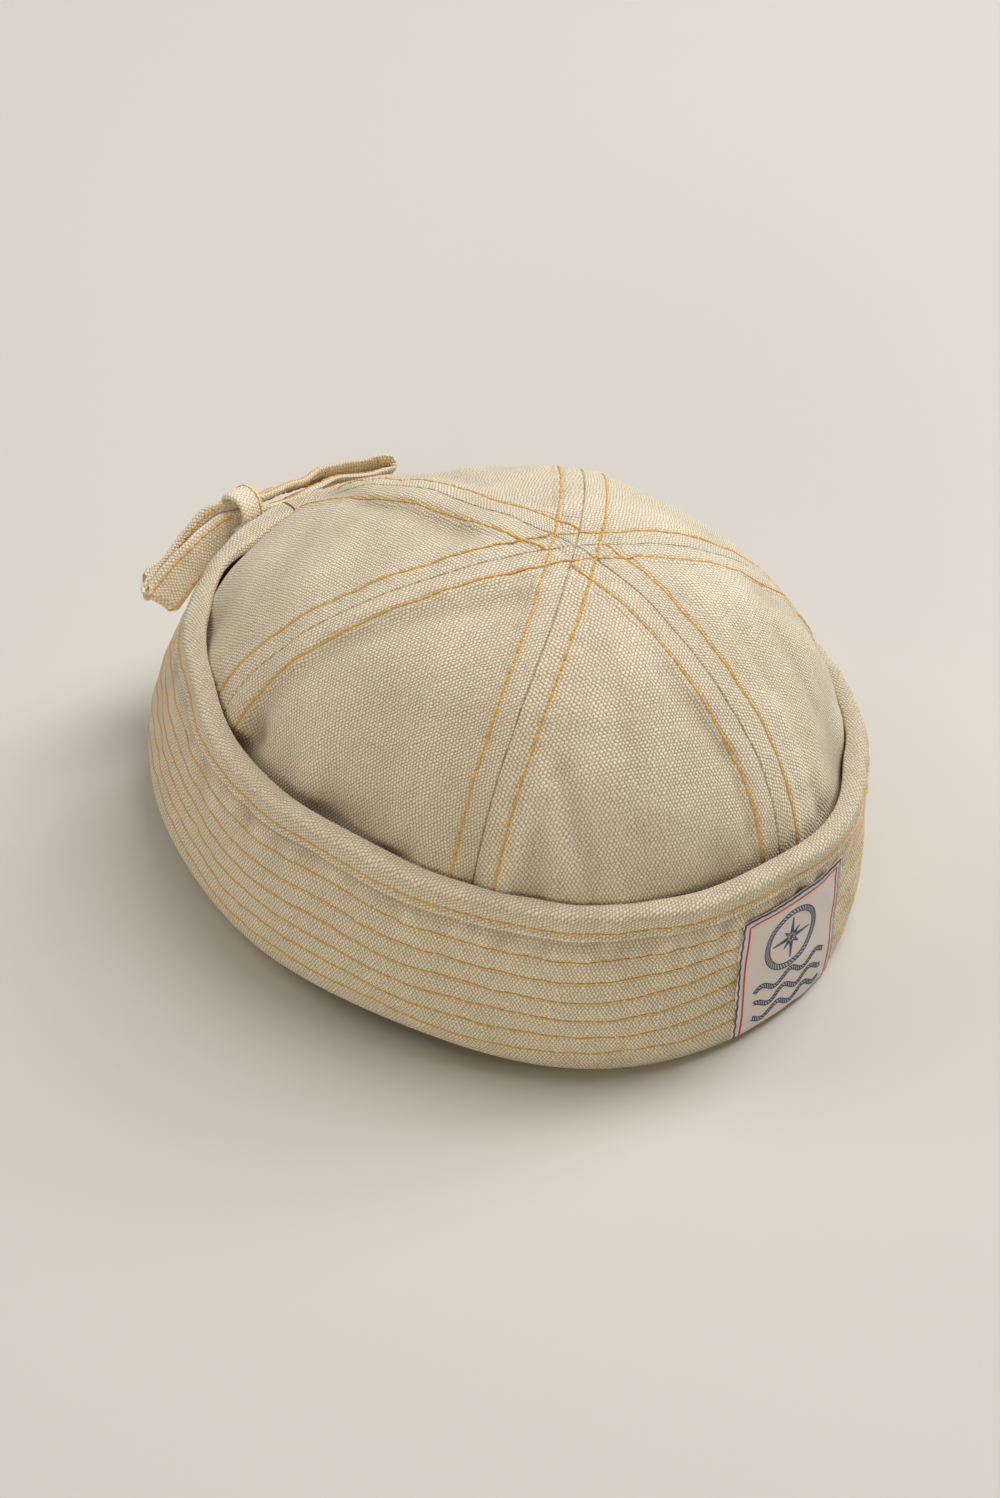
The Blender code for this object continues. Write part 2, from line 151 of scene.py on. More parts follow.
def smooth_path(points: Array, steps: int) -> Array:
    """Return a Catmull-Rom curve through the points, with steps spans between two of them."""
    padded = np.vstack([2 * points[0] - points[1], points, 2 * points[-1] - points[-2]])
    t = (np.arange(steps) / steps)[None, :, None]
    before, start, end, after = (padded[i:len(padded) - 3 + i, None] for i in range(4))
    curve = 0.5 * (2 * start + (end - before) * t
                   + (2 * before - 5 * start + 4 * end - after) * t ** 2
                   + (3 * start - before - 3 * end + after) * t ** 3)
    return np.vstack([curve.reshape(-1, 3), points[-1]])


def run_length(path: Array) -> Array:
    """Return the length walked up to each point of a path."""
    steps = np.linalg.norm(np.diff(path, axis=0), axis=-1)
    return np.concatenate([[0.0], np.cumsum(steps)])


def at_lengths(path: Array, lengths: Array) -> Array:
    """Return the path's values at the given walked lengths, shape (lengths..., columns)."""
    walked = run_length(path[:, :3])
    return np.stack([np.interp(lengths, walked, column) for column in path.T], axis=-1)


def tangents(path: Array) -> Array:
    """Return unit tangents, each halfway between the spans before and after its point."""
    spans = unit(np.diff(path, axis=0))
    return unit(np.vstack([spans[:1], spans[:-1] + spans[1:], spans[-1:]]))


def grid_quads(rows: int, columns: int) -> Array:
    """Return the corner numbers of a grid's quads, shape (quads, 4)."""
    i, j = np.meshgrid(np.arange(rows - 1), np.arange(columns - 1), indexing="ij")
    a = (i * columns + j).ravel()
    return np.stack([a, a + 1, a + columns + 1, a + columns], axis=-1)


def end_quads(corners: int, last: int) -> Array:
    """Return the quads that close a tube's first ring and the ring that starts at last."""
    half = np.arange(corners // 2 - 1)
    cap = np.stack([half, half + 1, corners - 2 - half, corners - 1 - half], axis=-1)
    return np.vstack([cap[:, ::-1], cap + last])


@dataclass(frozen=True)
class Skin:
    """Faces ready for a mesh: points in millimetres, quads and a UV in millimetres per point.

    The painted light and shade says how much lighter or darker the cloth is painted at each point,
    as a share; None is plain.
    """

    points: Array
    quads: Array
    uv: Array
    tone: Array | None = None

    @staticmethod
    def joined(parts: list["Skin"]) -> "Skin":
        """Return several plain skins as one."""
        starts = np.cumsum([0] + [len(part.points) for part in parts[:-1]])
        return Skin(np.vstack([part.points for part in parts]),
                    np.vstack([part.quads + start for part, start in zip(parts, starts)]),
                    np.vstack([part.uv for part in parts]))

    def turned(self) -> "Skin":
        """Return the skin with its faces turned the other way."""
        return Skin(self.points, self.quads[:, ::-1], self.uv, self.tone)


def shell(outer: Array, inner: Array, uv: Array, tone: Array | None = None) -> Skin:
    """Return the closed skin between two (rows, columns, 3) grids.

    Args:
        outer: the outside points, whose faces keep the winding row by column.
        inner: the inside points, the same shape.
        uv: a UV for each outside point, used for the inside as well.
        tone: the painted light and shade of each outside point; the inside is plain.

    Returns:
        The closed skin, with a strip of quads along each of the four rims.
    """
    rows, columns = outer.shape[:2]
    count = rows * columns
    number = np.arange(count).reshape(rows, columns)
    rims = []
    for line, turned in ((number[0], False), (number[-1], True),
                         (number[:, 0], True), (number[:, -1], False)):
        rim = np.stack([line[:-1], line[1:], line[1:] + count, line[:-1] + count], axis=-1)
        rims.append(rim[:, ::-1] if turned else rim)
    grid = grid_quads(rows, columns)
    quads = np.vstack([grid, grid[:, ::-1] + count, *rims])
    points = np.vstack([outer.reshape(-1, 3), inner.reshape(-1, 3)])
    painted_lights = None if tone is None else np.concatenate([tone.ravel(), np.zeros(count)])
    return Skin(points, quads, np.vstack([uv.reshape(-1, 2)] * 2), painted_lights)


def tube(path: Array, side: Array, face: Array, section: Array, grow: Array | None = None) -> Skin:
    """Return a closed skin swept along a path.

    Args:
        path: the centre line, shape (n, 3).
        side: the section's first axis at each point.
        face: the section's second axis at each point.
        section: an even number of (x, y) corners, in millimetres.
        grow: a factor for the section at each point, 1 where left out.

    Returns:
        The closed skin, its u along the path and its v round the section.
    """
    count, corners = len(path), len(section)
    size = np.ones(count) if grow is None else grow
    ring = (side[:, None] * section[None, :, :1] + face[:, None] * section[None, :, 1:])
    points = path[:, None] + ring * size[:, None, None]
    around = run_length(np.c_[np.vstack([section, section[:1]]), np.zeros(corners + 1)])
    closed = np.concatenate([points, points[:, :1]], axis=1)
    uv = np.stack(np.broadcast_arrays(run_length(path)[:, None], around[None]), axis=-1)
    quads = np.vstack([grid_quads(count, corners + 1),
                       end_quads(corners, (count - 1) * (corners + 1))])
    return Skin(closed.reshape(-1, 3), quads, uv.reshape(-1, 2))


def rounded_section(width: float, thickness: float, corners: int) -> Array:
    """Return a flat section with round sides, (width cos^0.5, thickness sin^0.83) / 2."""
    turn = (np.arange(corners) + 0.5) * 2.0 * math.pi / corners
    c, s = np.cos(turn), np.sin(turn)
    return np.stack([width / 2.0 * np.sign(c) * np.abs(c) ** 0.5,
                     thickness / 2.0 * np.sign(s) * np.abs(s) ** 0.83], axis=-1)


def height_from(table: tuple[tuple[float, float], ...], azimuth: Array) -> Array:
    """Read a table of (azimuth in degrees, height) rows, softened, the same on both sides."""
    fine, reach = np.linspace(0.0, 180.0, 361), 20
    rough = np.interp(fine, [row[0] for row in table], [row[1] for row in table])
    padded = np.concatenate([rough[reach:0:-1], rough, rough[-2:-reach - 2:-1]])
    return np.interp(np.abs(wrapped(np.degrees(azimuth))), fine, soften(padded, reach))


def linked(name: str, data: bpy.types.ID) -> bpy.types.Object:
    """Return a new object that holds the data, linked to the scene."""
    made = bpy.data.objects.new(name, data)
    bpy.context.scene.collection.objects.link(made)
    return made


class Bench:
    """Turns skins in millimetres into finished objects in the frame."""

    def __init__(self) -> None:
        """Find the shift from the knot's place in the frame."""
        low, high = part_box("tie_knot")
        self.shift = KNOT_CENTRE - (np.array(low) + np.array(high)) / (2.0 * MM)

    def place(self, points: Array) -> Array:
        """Return points of the sewn form in the frame, in metres."""
        return (points - self.shift) * MM

    def make(self, name: str, skin: Skin, material: bpy.types.Material, slot: str,
             sharp: float = 60.0) -> bpy.types.Object:
        """Make one object that rides on the cap.

        Args:
            name: the piece's name.
            skin: its faces.
            material: its finish.
            slot: a material slot's name; not used.
            sharp: edges bent by more than this many degrees stay crisp.

        Returns:
            The object, at the origin, with its place in its mesh.
        """
        quads = np.ascontiguousarray(skin.quads, dtype=np.int32)
        mesh = bpy.data.meshes.new(name)
        mesh.vertices.add(len(skin.points))
        mesh.vertices.foreach_set("co", self.place(skin.points).astype(np.float32).ravel())
        mesh.loops.add(quads.size)
        mesh.loops.foreach_set("vertex_index", quads.ravel())
        mesh.polygons.add(len(quads))
        mesh.polygons.foreach_set("loop_start", np.arange(0, quads.size, 4, dtype=np.int32))
        layer = mesh.uv_layers.new(name="grain")
        layer.data.foreach_set("uv", skin.uv[quads.ravel()].astype(np.float32).ravel())
        # The painted light and shade goes onto the mesh's points as a float attribute.
        if skin.tone is not None:
            painted_lights = mesh.attributes.new("tone", "FLOAT", "POINT")
            painted_lights.data.foreach_set("value", skin.tone.astype(np.float32))
        mesh.update(calc_edges=True)
        weld = bmesh.new()
        weld.from_mesh(mesh)
        bmesh.ops.remove_doubles(weld, verts=weld.verts[:], dist=WELD)
        weld.to_mesh(mesh)
        weld.free()
        mesh.validate()
        mesh.shade_smooth()
        mesh.set_sharp_from_angle(angle=math.radians(sharp))
        mesh.materials.append(material)
        made = linked(name, mesh)
        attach(made, BODY)
        log.info("%s: %d quads", name, len(quads))
        return made


# --- The crown ---

@dataclass(frozen=True)
class Oval:
    """A horizontal oval: |x / half_width|^p + |y / reach|^p = 1, with p its squareness."""

    half_width: float
    front: float
    back: float
    squareness: float

    def at(self, azimuth: Array, height: Array | float = 0.0) -> Array:
        """Return points of the oval at the given azimuths and height."""
        across, ahead = np.sin(azimuth), np.cos(azimuth)
        power = self.squareness
        scale = (np.abs(across) ** power + np.abs(ahead) ** power) ** (1.0 / power)
        reach = np.where(ahead > 0.0, self.front, self.back)
        x, y = self.half_width * across / scale, -reach * ahead / scale
        return np.stack([x, y, np.broadcast_to(height, x.shape)], axis=-1)

    def outward(self, azimuth: Array) -> Array:
        """Return the horizontal unit normals."""
        tangent = self.at(azimuth + SMALL_TURN) - self.at(azimuth - SMALL_TURN)
        return unit(np.stack([tangent[..., 1], -tangent[..., 0], np.zeros_like(azimuth)], axis=-1))


@dataclass(frozen=True)
class Around:
    """A value that changes smoothly round the cap."""

    mean: float
    front_back: float
    ends_sides: float
    left_right: float

    def at(self, azimuth: Array) -> Array:
        """Return mean + front_back cos a + ends_sides cos 2a + left_right sin a."""
        return (self.mean + self.front_back * np.cos(azimuth)
                + self.ends_sides * np.cos(2.0 * azimuth) + self.left_right * np.sin(azimuth))


@dataclass(frozen=True)
class Dent:
    """A soft hollow, or a swell where its depth is negative: angles in degrees, depth in mm."""

    azimuth: float
    climb: float
    half_across: float
    half_up: float
    depth: float

    def at(self, degrees: Array, climb: Array) -> Array:
        """Return how deep the dent is at each place."""
        across = Bell(self.depth, self.azimuth, self.half_across).round_at(degrees)
        return across * bell(climb, self.climb, self.half_up)


@dataclass(frozen=True)
class Fold:
    """A soft crease in the crown: a line of (azimuth, climb) in degrees and its sizes in mm.

    Its depth is negative where the cloth stands up as a ridge.
    """

    line: tuple[tuple[float, float], ...]
    half_width: float
    depth: float

    def at(self, azimuth: Array, rise: Array) -> Array:
        """Return how deep the fold is at each place, a bell of the distance to its line."""
        spot = flat_chart(azimuth, np.maximum(rise, 0.0) * 90.0)
        turns, climbs = np.array(self.line).T
        line = flat_chart(np.radians(turns), climbs)
        nearest = np.full(azimuth.shape, np.inf)
        for start, end in zip(line[:-1], line[1:]):
            run = end - start
            share = np.clip((spot - start) @ run / (run @ run), 0.0, 1.0)[..., None]
            nearest = np.minimum(nearest, np.linalg.norm(spot - start - share * run, axis=-1))
        return self.depth * bell(nearest, 0.0, self.half_width)


def flat_chart(azimuth: Array, climb: Array) -> Array:
    """Return places in a flat chart about the apex, in millimetres."""
    return ((90.0 - climb) * MM_PER_DEGREE)[..., None] * chart_axes(azimuth)[0]


def chart_axes(azimuth: Array | float) -> tuple[Array, Array]:
    """Return the directions out along an azimuth and square to it, in a chart from above."""
    across, ahead = np.sin(azimuth), np.cos(azimuth)
    return np.stack([across, -ahead], axis=-1), np.stack([ahead, across], axis=-1)


def curl_up(points: Array) -> Array:
    """Return points with the cap's lower edge lifted where it curls up from the floor.

    The lift is a sin^2 over the azimuths of the curl, and fades out with height.
    """
    turn = np.degrees(np.arctan2(points[..., 0], -points[..., 1]))
    share = np.clip((turn - CURL_FROM) / (CURL_TO - CURL_FROM), 0.0, 1.0)
    near = np.clip(1.0 - points[..., 2] / CURL_REACH, 0.0, 1.0)
    lifted = points.copy()
    lifted[..., 2] += CURL_LIFT * np.sin(math.pi * share) ** 2 * near ** 2
    return lifted


@dataclass(frozen=True)
class CrownForm:
    """The dome of six gores as one surface of azimuth and rise.

    Rise is -1 at the foot, 0 at the widest ring and 1 at the apex. The relief is in mm and the
    painted light and shade a share, both by bells of the distance in mm to a seam's line or a
    topstitched row.
    """

    foot: Oval = Oval(82.2, 101.8, 100.9, 2.12)
    foot_height: float = 2.8
    widest: Oval = Oval(83.4, 102.4, 104.6, 2.14)
    widest_height: float = 21.6
    apex: tuple[float, float, float] = (-0.7, -23.5, 119.2)
    roundness: Around = Around(1.81, 0.07, -0.15, 0.09)
    fullness: Around = Around(2.52, -0.20, 0.31, 0.02)
    cloth: float = 1.3
    gores: int = 6
    seam_step: float = math.radians(60.0)
    row_offset: float = 6.5
    skirt_degrees: float = 12.0
    sewn_from: tuple[float, float] = (-0.95, -0.3)
    broad: Wave = Wave(0.5, 30.0, 5)
    gather: Wave = Wave(0.5, 17.0, 13)
    gather_zone: Bell = Bell(1.0, 60.0, 17.0)
    groove: Bell = Bell(-0.5, 0.0, 0.22)
    allowance: float = 0.45
    allowance_edge: tuple[float, float] = (7.4, 9.4)
    row_dip: Bell = Bell(-0.34, 0.0, 0.75)
    fine: Wave = Wave(0.14, 13.0, 7)
    row_pucker: Wave = Wave(0.18, 6.5, 11)
    row_pucker_zone: Bell = Bell(1.0, 0.0, 2.6)
    # Painted light and shade: shade along the seam grooves, in the rows' dips, in folds and by the
    # hem, light on ridges, gathers and broad swells.
    seam_painted_shades: tuple[float, ...] = (0.14, 0.08, 0.3, 0.08, 0.1, 0.3)
    seam_painted_shade: Bell = Bell(-1.0, 0.0, 0.24)
    row_painted_shade: Bell = Bell(-0.08, 0.0, 0.8)
    fold_painted_light: float = -0.14
    broad_painted_light: float = 0.1
    gather_painted_light: Bell = Bell(0.2, 58.0, 13.0)
    hem_painted_shade: float = -0.08
    hem_fade: float = 4.0
    # Painted shade over the lower left front of the crown.
    painted_shade_across: Bell = Bell(-0.11, -72.0, 24.0)
    painted_shade_up: Bell = Bell(1.0, 24.0, 20.0)
    folds: tuple[Fold, ...] = (
        Fold(((-113, 23), (-112, 36), (-111, 45), (-107, 55), (-98, 64), (-87, 72)), 4.5, 1.0),
        Fold(((-118, 40), (-118, 52), (-112, 64)), 5.0, -0.5),
        Fold(((-113, 17), (-111, 22)), 4.5, 1.6),
        Fold(((-92, 20), (-84, 23)), 5.0, 0.9), Fold(((-76, 18), (-73, 21)), 4.0, 1.3),
        Fold(((-63, 16), (-60, 19)), 4.0, 0.8),
        Fold(((179, 32), (-170, 47), (-163, 60), (-152, 68)), 5.5, 1.3),
        Fold(((-51, 41), (-52, 32), (-54, 18)), 2.8, -0.65),
        Fold(((-49, 37), (-46, 29), (-41, 17)), 3.0, -0.7),
        Fold(((-50, 28), (-48, 17)), 3.5, 0.6),
        Fold(((-47, 41), (-43, 31), (-38, 22)), 3.5, 0.7),
        Fold(((-38, 64), (-33, 50), (-31, 40)), 4.5, 0.5),
        Fold(((-15, 56), (-11, 45), (-7, 35), (-7, 22)), 4.5, 0.9),
        Fold(((33, 68), (20, 56), (13, 41), (10, 25)), 3.5, -0.6),
        Fold(((25, 59), (15, 43)), 3.5, 0.6), Fold(((34, 47), (27, 31)), 4.0, 0.7),
        Fold(((14, 16), (13, 21)), 4.0, 1.0),
        Fold(((55, 20), (50, 40), (48, 52)), 6.0, 0.8),
        Fold(((140, 18), (150, 34), (156, 50)), 6.0, 0.9))
    dents: tuple[Dent, ...] = (
        Dent(-104, 16, 17, 13, 3.2), Dent(-75, 10, 10, 9, 2.0), Dent(34, 22, 10, 20, 1.6),
        Dent(180, 22, 20, 17, -0.9), Dent(180, 50, 20, 17, -2.3), Dent(-120, 22, 20, 17, -0.7),
        Dent(-60, 22, 20, 17, 1.8), Dent(0, 50, 20, 17, 1.4), Dent(60, 22, 20, 17, -0.5),
        Dent(120, 50, 20, 17, -0.8), Dent(150, 22, 20, 17, 1.0), Dent(150, 50, 20, 17, 3.3),
    )

    def rise_at(self, spread: Array, azimuth: Array) -> Array:
        """Return the rise whose ring is spread times the widest one."""
        power = self.roundness.at(azimuth) / 2.0
        return np.arccos(np.clip(spread, 0.0, 1.0) ** power) / (math.pi / 2.0)

    def base(self, azimuth: Array, rise: Array) -> Array:
        """Return the smooth form.

        Below the widest ring it flares from the foot by 1 - (1 - share)^2. Above, the section
        is a superellipse, spread = cos^(2/roundness) and height = sin^(2/fullness) of the
        climb, whose centre slides to the apex by 1 - spread^2.
        """
        share = np.clip(rise + 1.0, 0.0, 1.0)
        foot, widest = self.foot.at(azimuth), self.widest.at(azimuth)
        skirt = foot + (widest - foot) * (1.0 - (1.0 - share) ** 2)[..., None]
        skirt[..., 2] = self.foot_height + (self.widest_height - self.foot_height) * share
        climb = np.clip(rise, 0.0, 1.0) * math.pi / 2.0
        spread = np.cos(climb) ** (2.0 / self.roundness.at(azimuth))
        lift = np.sin(climb) ** (2.0 / self.fullness.at(azimuth))
        slide = 1.0 - spread ** 2
        dome = widest * spread[..., None]
        dome[..., 0] += self.apex[0] * slide
        dome[..., 1] += self.apex[1] * slide
        dome[..., 2] = self.widest_height + (self.apex[2] - self.widest_height) * lift
        return np.where((rise < 0.0)[..., None], skirt, dome)

    def across(self, azimuth: Array, rise: Array) -> Array:
        """Return how many millimetres one radian of azimuth is, at each rise."""
        step = self.base(azimuth + SMALL_TURN, rise) - self.base(azimuth - SMALL_TURN, rise)
        return np.linalg.norm(step, axis=-1) / (2.0 * SMALL_TURN)

    def normals(self, azimuth: Array, rise: Array) -> Array:
        """Return the smooth form's outward unit normals, from differences of its points."""
        lift, highest = 1e-4, 0.9999
        along = self.base(azimuth + SMALL_TURN, rise) - self.base(azimuth - SMALL_TURN, rise)
        up = (self.base(azimuth, np.minimum(rise + lift, highest))
              - self.base(azimuth, rise - lift))
        return unit(np.cross(along, up))

    def seam_distances(self, azimuth: Array, rise: Array) -> Array:
        """Return the distance in mm to each of the six seams, shape (6, ...).

        It is the local radius times |sin| of the turn from the seam, and the local radius
        itself on the far side of the apex.
        """
        rows = []
        for seam in self.seam_step * np.arange(self.gores):
            radius = self.across(np.full_like(azimuth, seam), rise)
            turn = azimuth - seam
            rows.append(np.where(np.cos(turn) > 0.0, radius * np.abs(np.sin(turn)), radius))
        return np.array(rows)

    def dent_depth(self, azimuth: Array, rise: Array) -> Array:
        """Return how far the soft cloth sinks, all dents added up."""
        climb = np.where(rise > 0.0, 90.0, self.skirt_degrees) * rise
        return sum(dent.at(np.degrees(azimuth), climb) for dent in self.dents)

    def fold_depth(self, azimuth: Array, rise: Array) -> Array:
        """Return how deep the soft folds are, all added up."""
        return sum(fold.at(azimuth, rise) for fold in self.folds)

    def slack(self, azimuth: Array, rise: Array, points: Array) -> Array:
        """Return how far the whole cloth stands out: broad waves less the dents and folds."""
        gather = self.gather_zone.at(points[..., 2]) * self.gather.at(points * LEVEL)
        loose = self.broad.at(points) + gather - self.fold_depth(azimuth, rise)
        return loose * smooth_step(*self.sewn_from, rise) - self.dent_depth(azimuth, rise)

    def relief(self, azimuth: Array, rise: Array, points: Array) -> Array:
        """Return what sewing adds to the outside alone, in millimetres along the normal.

        Each seam has a groove, an allowance that lifts the cloth to both sides, a dip under
        each topstitched row and short puckers along it. Fine waves are added.
        """
        away = self.seam_distances(azimuth, rise)
        seam, row = away.min(axis=0), np.abs(away - self.row_offset).min(axis=0)
        sewn = self.allowance * (1.0 - smooth_step(*self.allowance_edge, seam))
        sewn += self.groove.at(seam) + self.row_dip.at(row) + self.fine.at(points)
        sewn += self.row_pucker_zone.at(row) * self.row_pucker.at(points)
        return sewn * smooth_step(*self.sewn_from, rise)

    def tone(self, azimuth: Array, rise: Array) -> Array:
        """Return the painted light and shade: painted shade in the seam grooves, the rows' dips,
        folds, by the hem and on the lower left front, painted light on ridges and swells.
        """
        base = self.base(azimuth, rise)
        away = self.seam_distances(azimuth, rise)
        row = np.abs(away - self.row_offset).min(axis=0)
        above_hem = base[..., 2] - height_from(HEM_HEIGHTS, azimuth)
        line = self.seam_painted_shade.at(away) * np.array(self.seam_painted_shades).reshape(-1, *[1] * rise.ndim)
        # Painted shade over the lower left front.
        painted_side_shade = self.painted_shade_across.round_at(np.degrees(azimuth)) * self.painted_shade_up.at(rise * 90.0)
        return (line.min(axis=0) + self.row_painted_shade.at(row) + painted_side_shade
                + self.fold_painted_light * self.fold_depth(azimuth, rise)
                + self.gather_painted_light.at(base[..., 2]) * self.gather.at(base * LEVEL)
                + self.hem_painted_shade * np.exp(-np.maximum(above_hem, 0.0) / self.hem_fade)
                + self.broad_painted_light * self.broad.at(base))

    def cloth_at(self, azimuth: Array, rise: Array, inside: bool = False) -> Array:
        """Return the cloth's sewn outside, or its inside."""
        base = self.base(azimuth, rise)
        own = -self.cloth if inside else self.relief(azimuth, rise, base)
        height = self.slack(azimuth, rise, base) + own
        return curl_up(base + self.normals(azimuth, rise) * height[..., None])


@dataclass(frozen=True)
class SeamRow:
    """A topstitched row: its seam and the seam it runs up to (degrees), and its side, 1 or -1."""

    seam: float
    side: int
    stop: float


@dataclass(frozen=True)
class Crown:
    """The six gores, whose flat size is in metres, and the twin rows along their seams.

    A gore's columns lie at edge_columns mm from both seams and evenly between them, and squeeze
    together where the gore is narrower than squeeze_from times the last of those.
    """

    form: CrownForm = CrownForm()
    flat: tuple[float, float] = (0.106, 0.176)
    flat_area: float = 0.0119
    row_spacing: float = 0.85
    hidden_spacing: float = 2.5
    hidden_rise: float = 0.08
    tip_spread: float = 0.0015
    edge_columns: tuple[float, ...] = (
        0.03, 0.13, 0.24, 0.38, 0.58, 0.9, 1.4, 2.1, 2.9, 3.7, 4.5, 5.2, 5.7, 6.05, 6.3, 6.5,
        6.7, 6.95, 7.3, 7.8, 8.4, 9.1, 9.8, 10.6, 11.5)
    middle_columns: int = 20
    squeeze_from: float = 2.2
    tip_length: float = 0.1
    grain_shift: float = 200.0
    row_foot: float = -0.9
    chart_rim: float = 0.9995
    chart_end: float = -0.2
    least_spread: float = 0.03
    straight_below: tuple[float, float] = (0.22, 0.38)
    rows: tuple[SeamRow, ...] = (
        SeamRow(0, 1, 60), SeamRow(0, -1, -60), SeamRow(60, 1, 120), SeamRow(60, -1, -60),
        SeamRow(180, -1, 120), SeamRow(180, 1, -120), SeamRow(-120, -1, 120),
        SeamRow(-120, 1, -60))

    def rises(self, azimuth: float) -> Array:
        """Return the rises of a gore's rows, evenly spaced up its middle."""
        fine = np.concatenate([np.linspace(-1.0, 0.0, 60), np.linspace(0.0, 1.0, 1200)[1:]])
        fine = fine[fine < self.form.rise_at(np.array(self.tip_spread), np.array(azimuth))]
        walked = run_length(self.form.base(np.full_like(fine, azimuth), fine))
        start = np.interp(self.hidden_rise, fine, walked)
        below = np.linspace(0.0, start, max(2, int(start / self.hidden_spacing)))
        above = np.linspace(start, walked[-1], int((walked[-1] - start) / self.row_spacing))
        return np.interp(np.concatenate([below[:-1], above]), walked, fine)

    def gore(self, index: int) -> Skin:
        """Return one gore as a closed sheet.

        Its grain is that of a flat cut: a point's distance from the apex and its turn, sideways
        distance over that distance, are laid out flat.
        """
        form, half = self.form, self.form.seam_step / 2.0
        middle = (index + 0.5) * form.seam_step
        rise = self.rises(middle)[:, None]
        width = form.across(np.full_like(rise, middle), rise) * half
        fixed = np.array(self.edge_columns)
        edge = fixed * np.minimum(1.0, width / (self.squeeze_from * fixed[-1]))
        free = np.linspace(0.0, 1.0, self.middle_columns + 1)[None, 1:]
        inner = edge[:, -1:] + (width - edge[:, -1:]) * free
        left = np.concatenate([edge, inner], axis=1) / width - 1.0
        share = np.concatenate([left, -left[:, -2::-1]], axis=1)
        azimuth = middle + share * half
        rise = np.broadcast_to(rise, azimuth.shape)
        walked = run_length(form.base(np.full(len(rise), middle), rise[:, 0]))
        reach = (walked[-1] - walked)[:, None] + self.tip_length
        turn = share * width / reach
        uv = np.stack([reach * np.sin(turn) + self.grain_shift * index, -reach * np.cos(turn)],
                      axis=-1)
        return shell(form.cloth_at(azimuth, rise), form.cloth_at(azimuth, rise, inside=True), uv,
                     form.tone(azimuth, rise))

    def row_path(self, row: SeamRow) -> tuple[Array, Array]:
        """Return a row's azimuths and rises, from the foot to where it runs under a seam.

        On the wall the row keeps its distance as a turn of azimuth. Near the apex it is a
        straight line beside the seam, in the flat chart whose radius is the spread.
        """
        form, seam = self.form, math.radians(row.seam)
        wall_rise = np.linspace(self.row_foot, 0.0, 30)
        radius = form.across(np.full_like(wall_rise, seam), wall_rise)
        wall = seam + row.side * form.row_offset / radius
        spread = np.linspace(self.chart_rim, self.chart_end, 700)
        near = np.maximum(np.abs(spread), self.least_spread)
        rise = form.rise_at(near, np.full_like(near, seam))
        offset = row.side * form.row_offset * near / form.across(np.full_like(rise, seam), rise)
        ahead, aside = chart_axes(seam)
        straight = spread[:, None] * ahead + offset[:, None] * aside
        curved = near[:, None] * chart_axes(seam + offset / near)[0]
        share = smooth_step(*self.straight_below, spread)[:, None]
        chart = straight + (curved - straight) * share
        side = np.cross(chart, chart_axes(math.radians(row.stop))[0])
        crossed = (np.sign(side) != np.sign(side[0])) & (spread < 0.5)
        last = int(np.argmax(crossed)) if crossed.any() else len(spread)
        azimuth = np.arctan2(chart[:last, 0], -chart[:last, 1])
        rise = form.rise_at(np.hypot(chart[:last, 0], chart[:last, 1]), azimuth)
        azimuth = np.unwrap(azimuth - seam, discont=math.pi) + seam
        return np.concatenate([wall, azimuth]), np.concatenate([wall_rise, rise])

    def long_row_path(self, side: int) -> tuple[Array, Array]:
        """Return the last-sewn seam's row, from foot to foot straight over the apex."""
        up, down = self.row_path(SeamRow(-60, side, 30)), self.row_path(SeamRow(120, -side, 30))
        return tuple(np.concatenate([first, last[::-1]]) for first, last in zip(up, down))


# --- The cuff ---

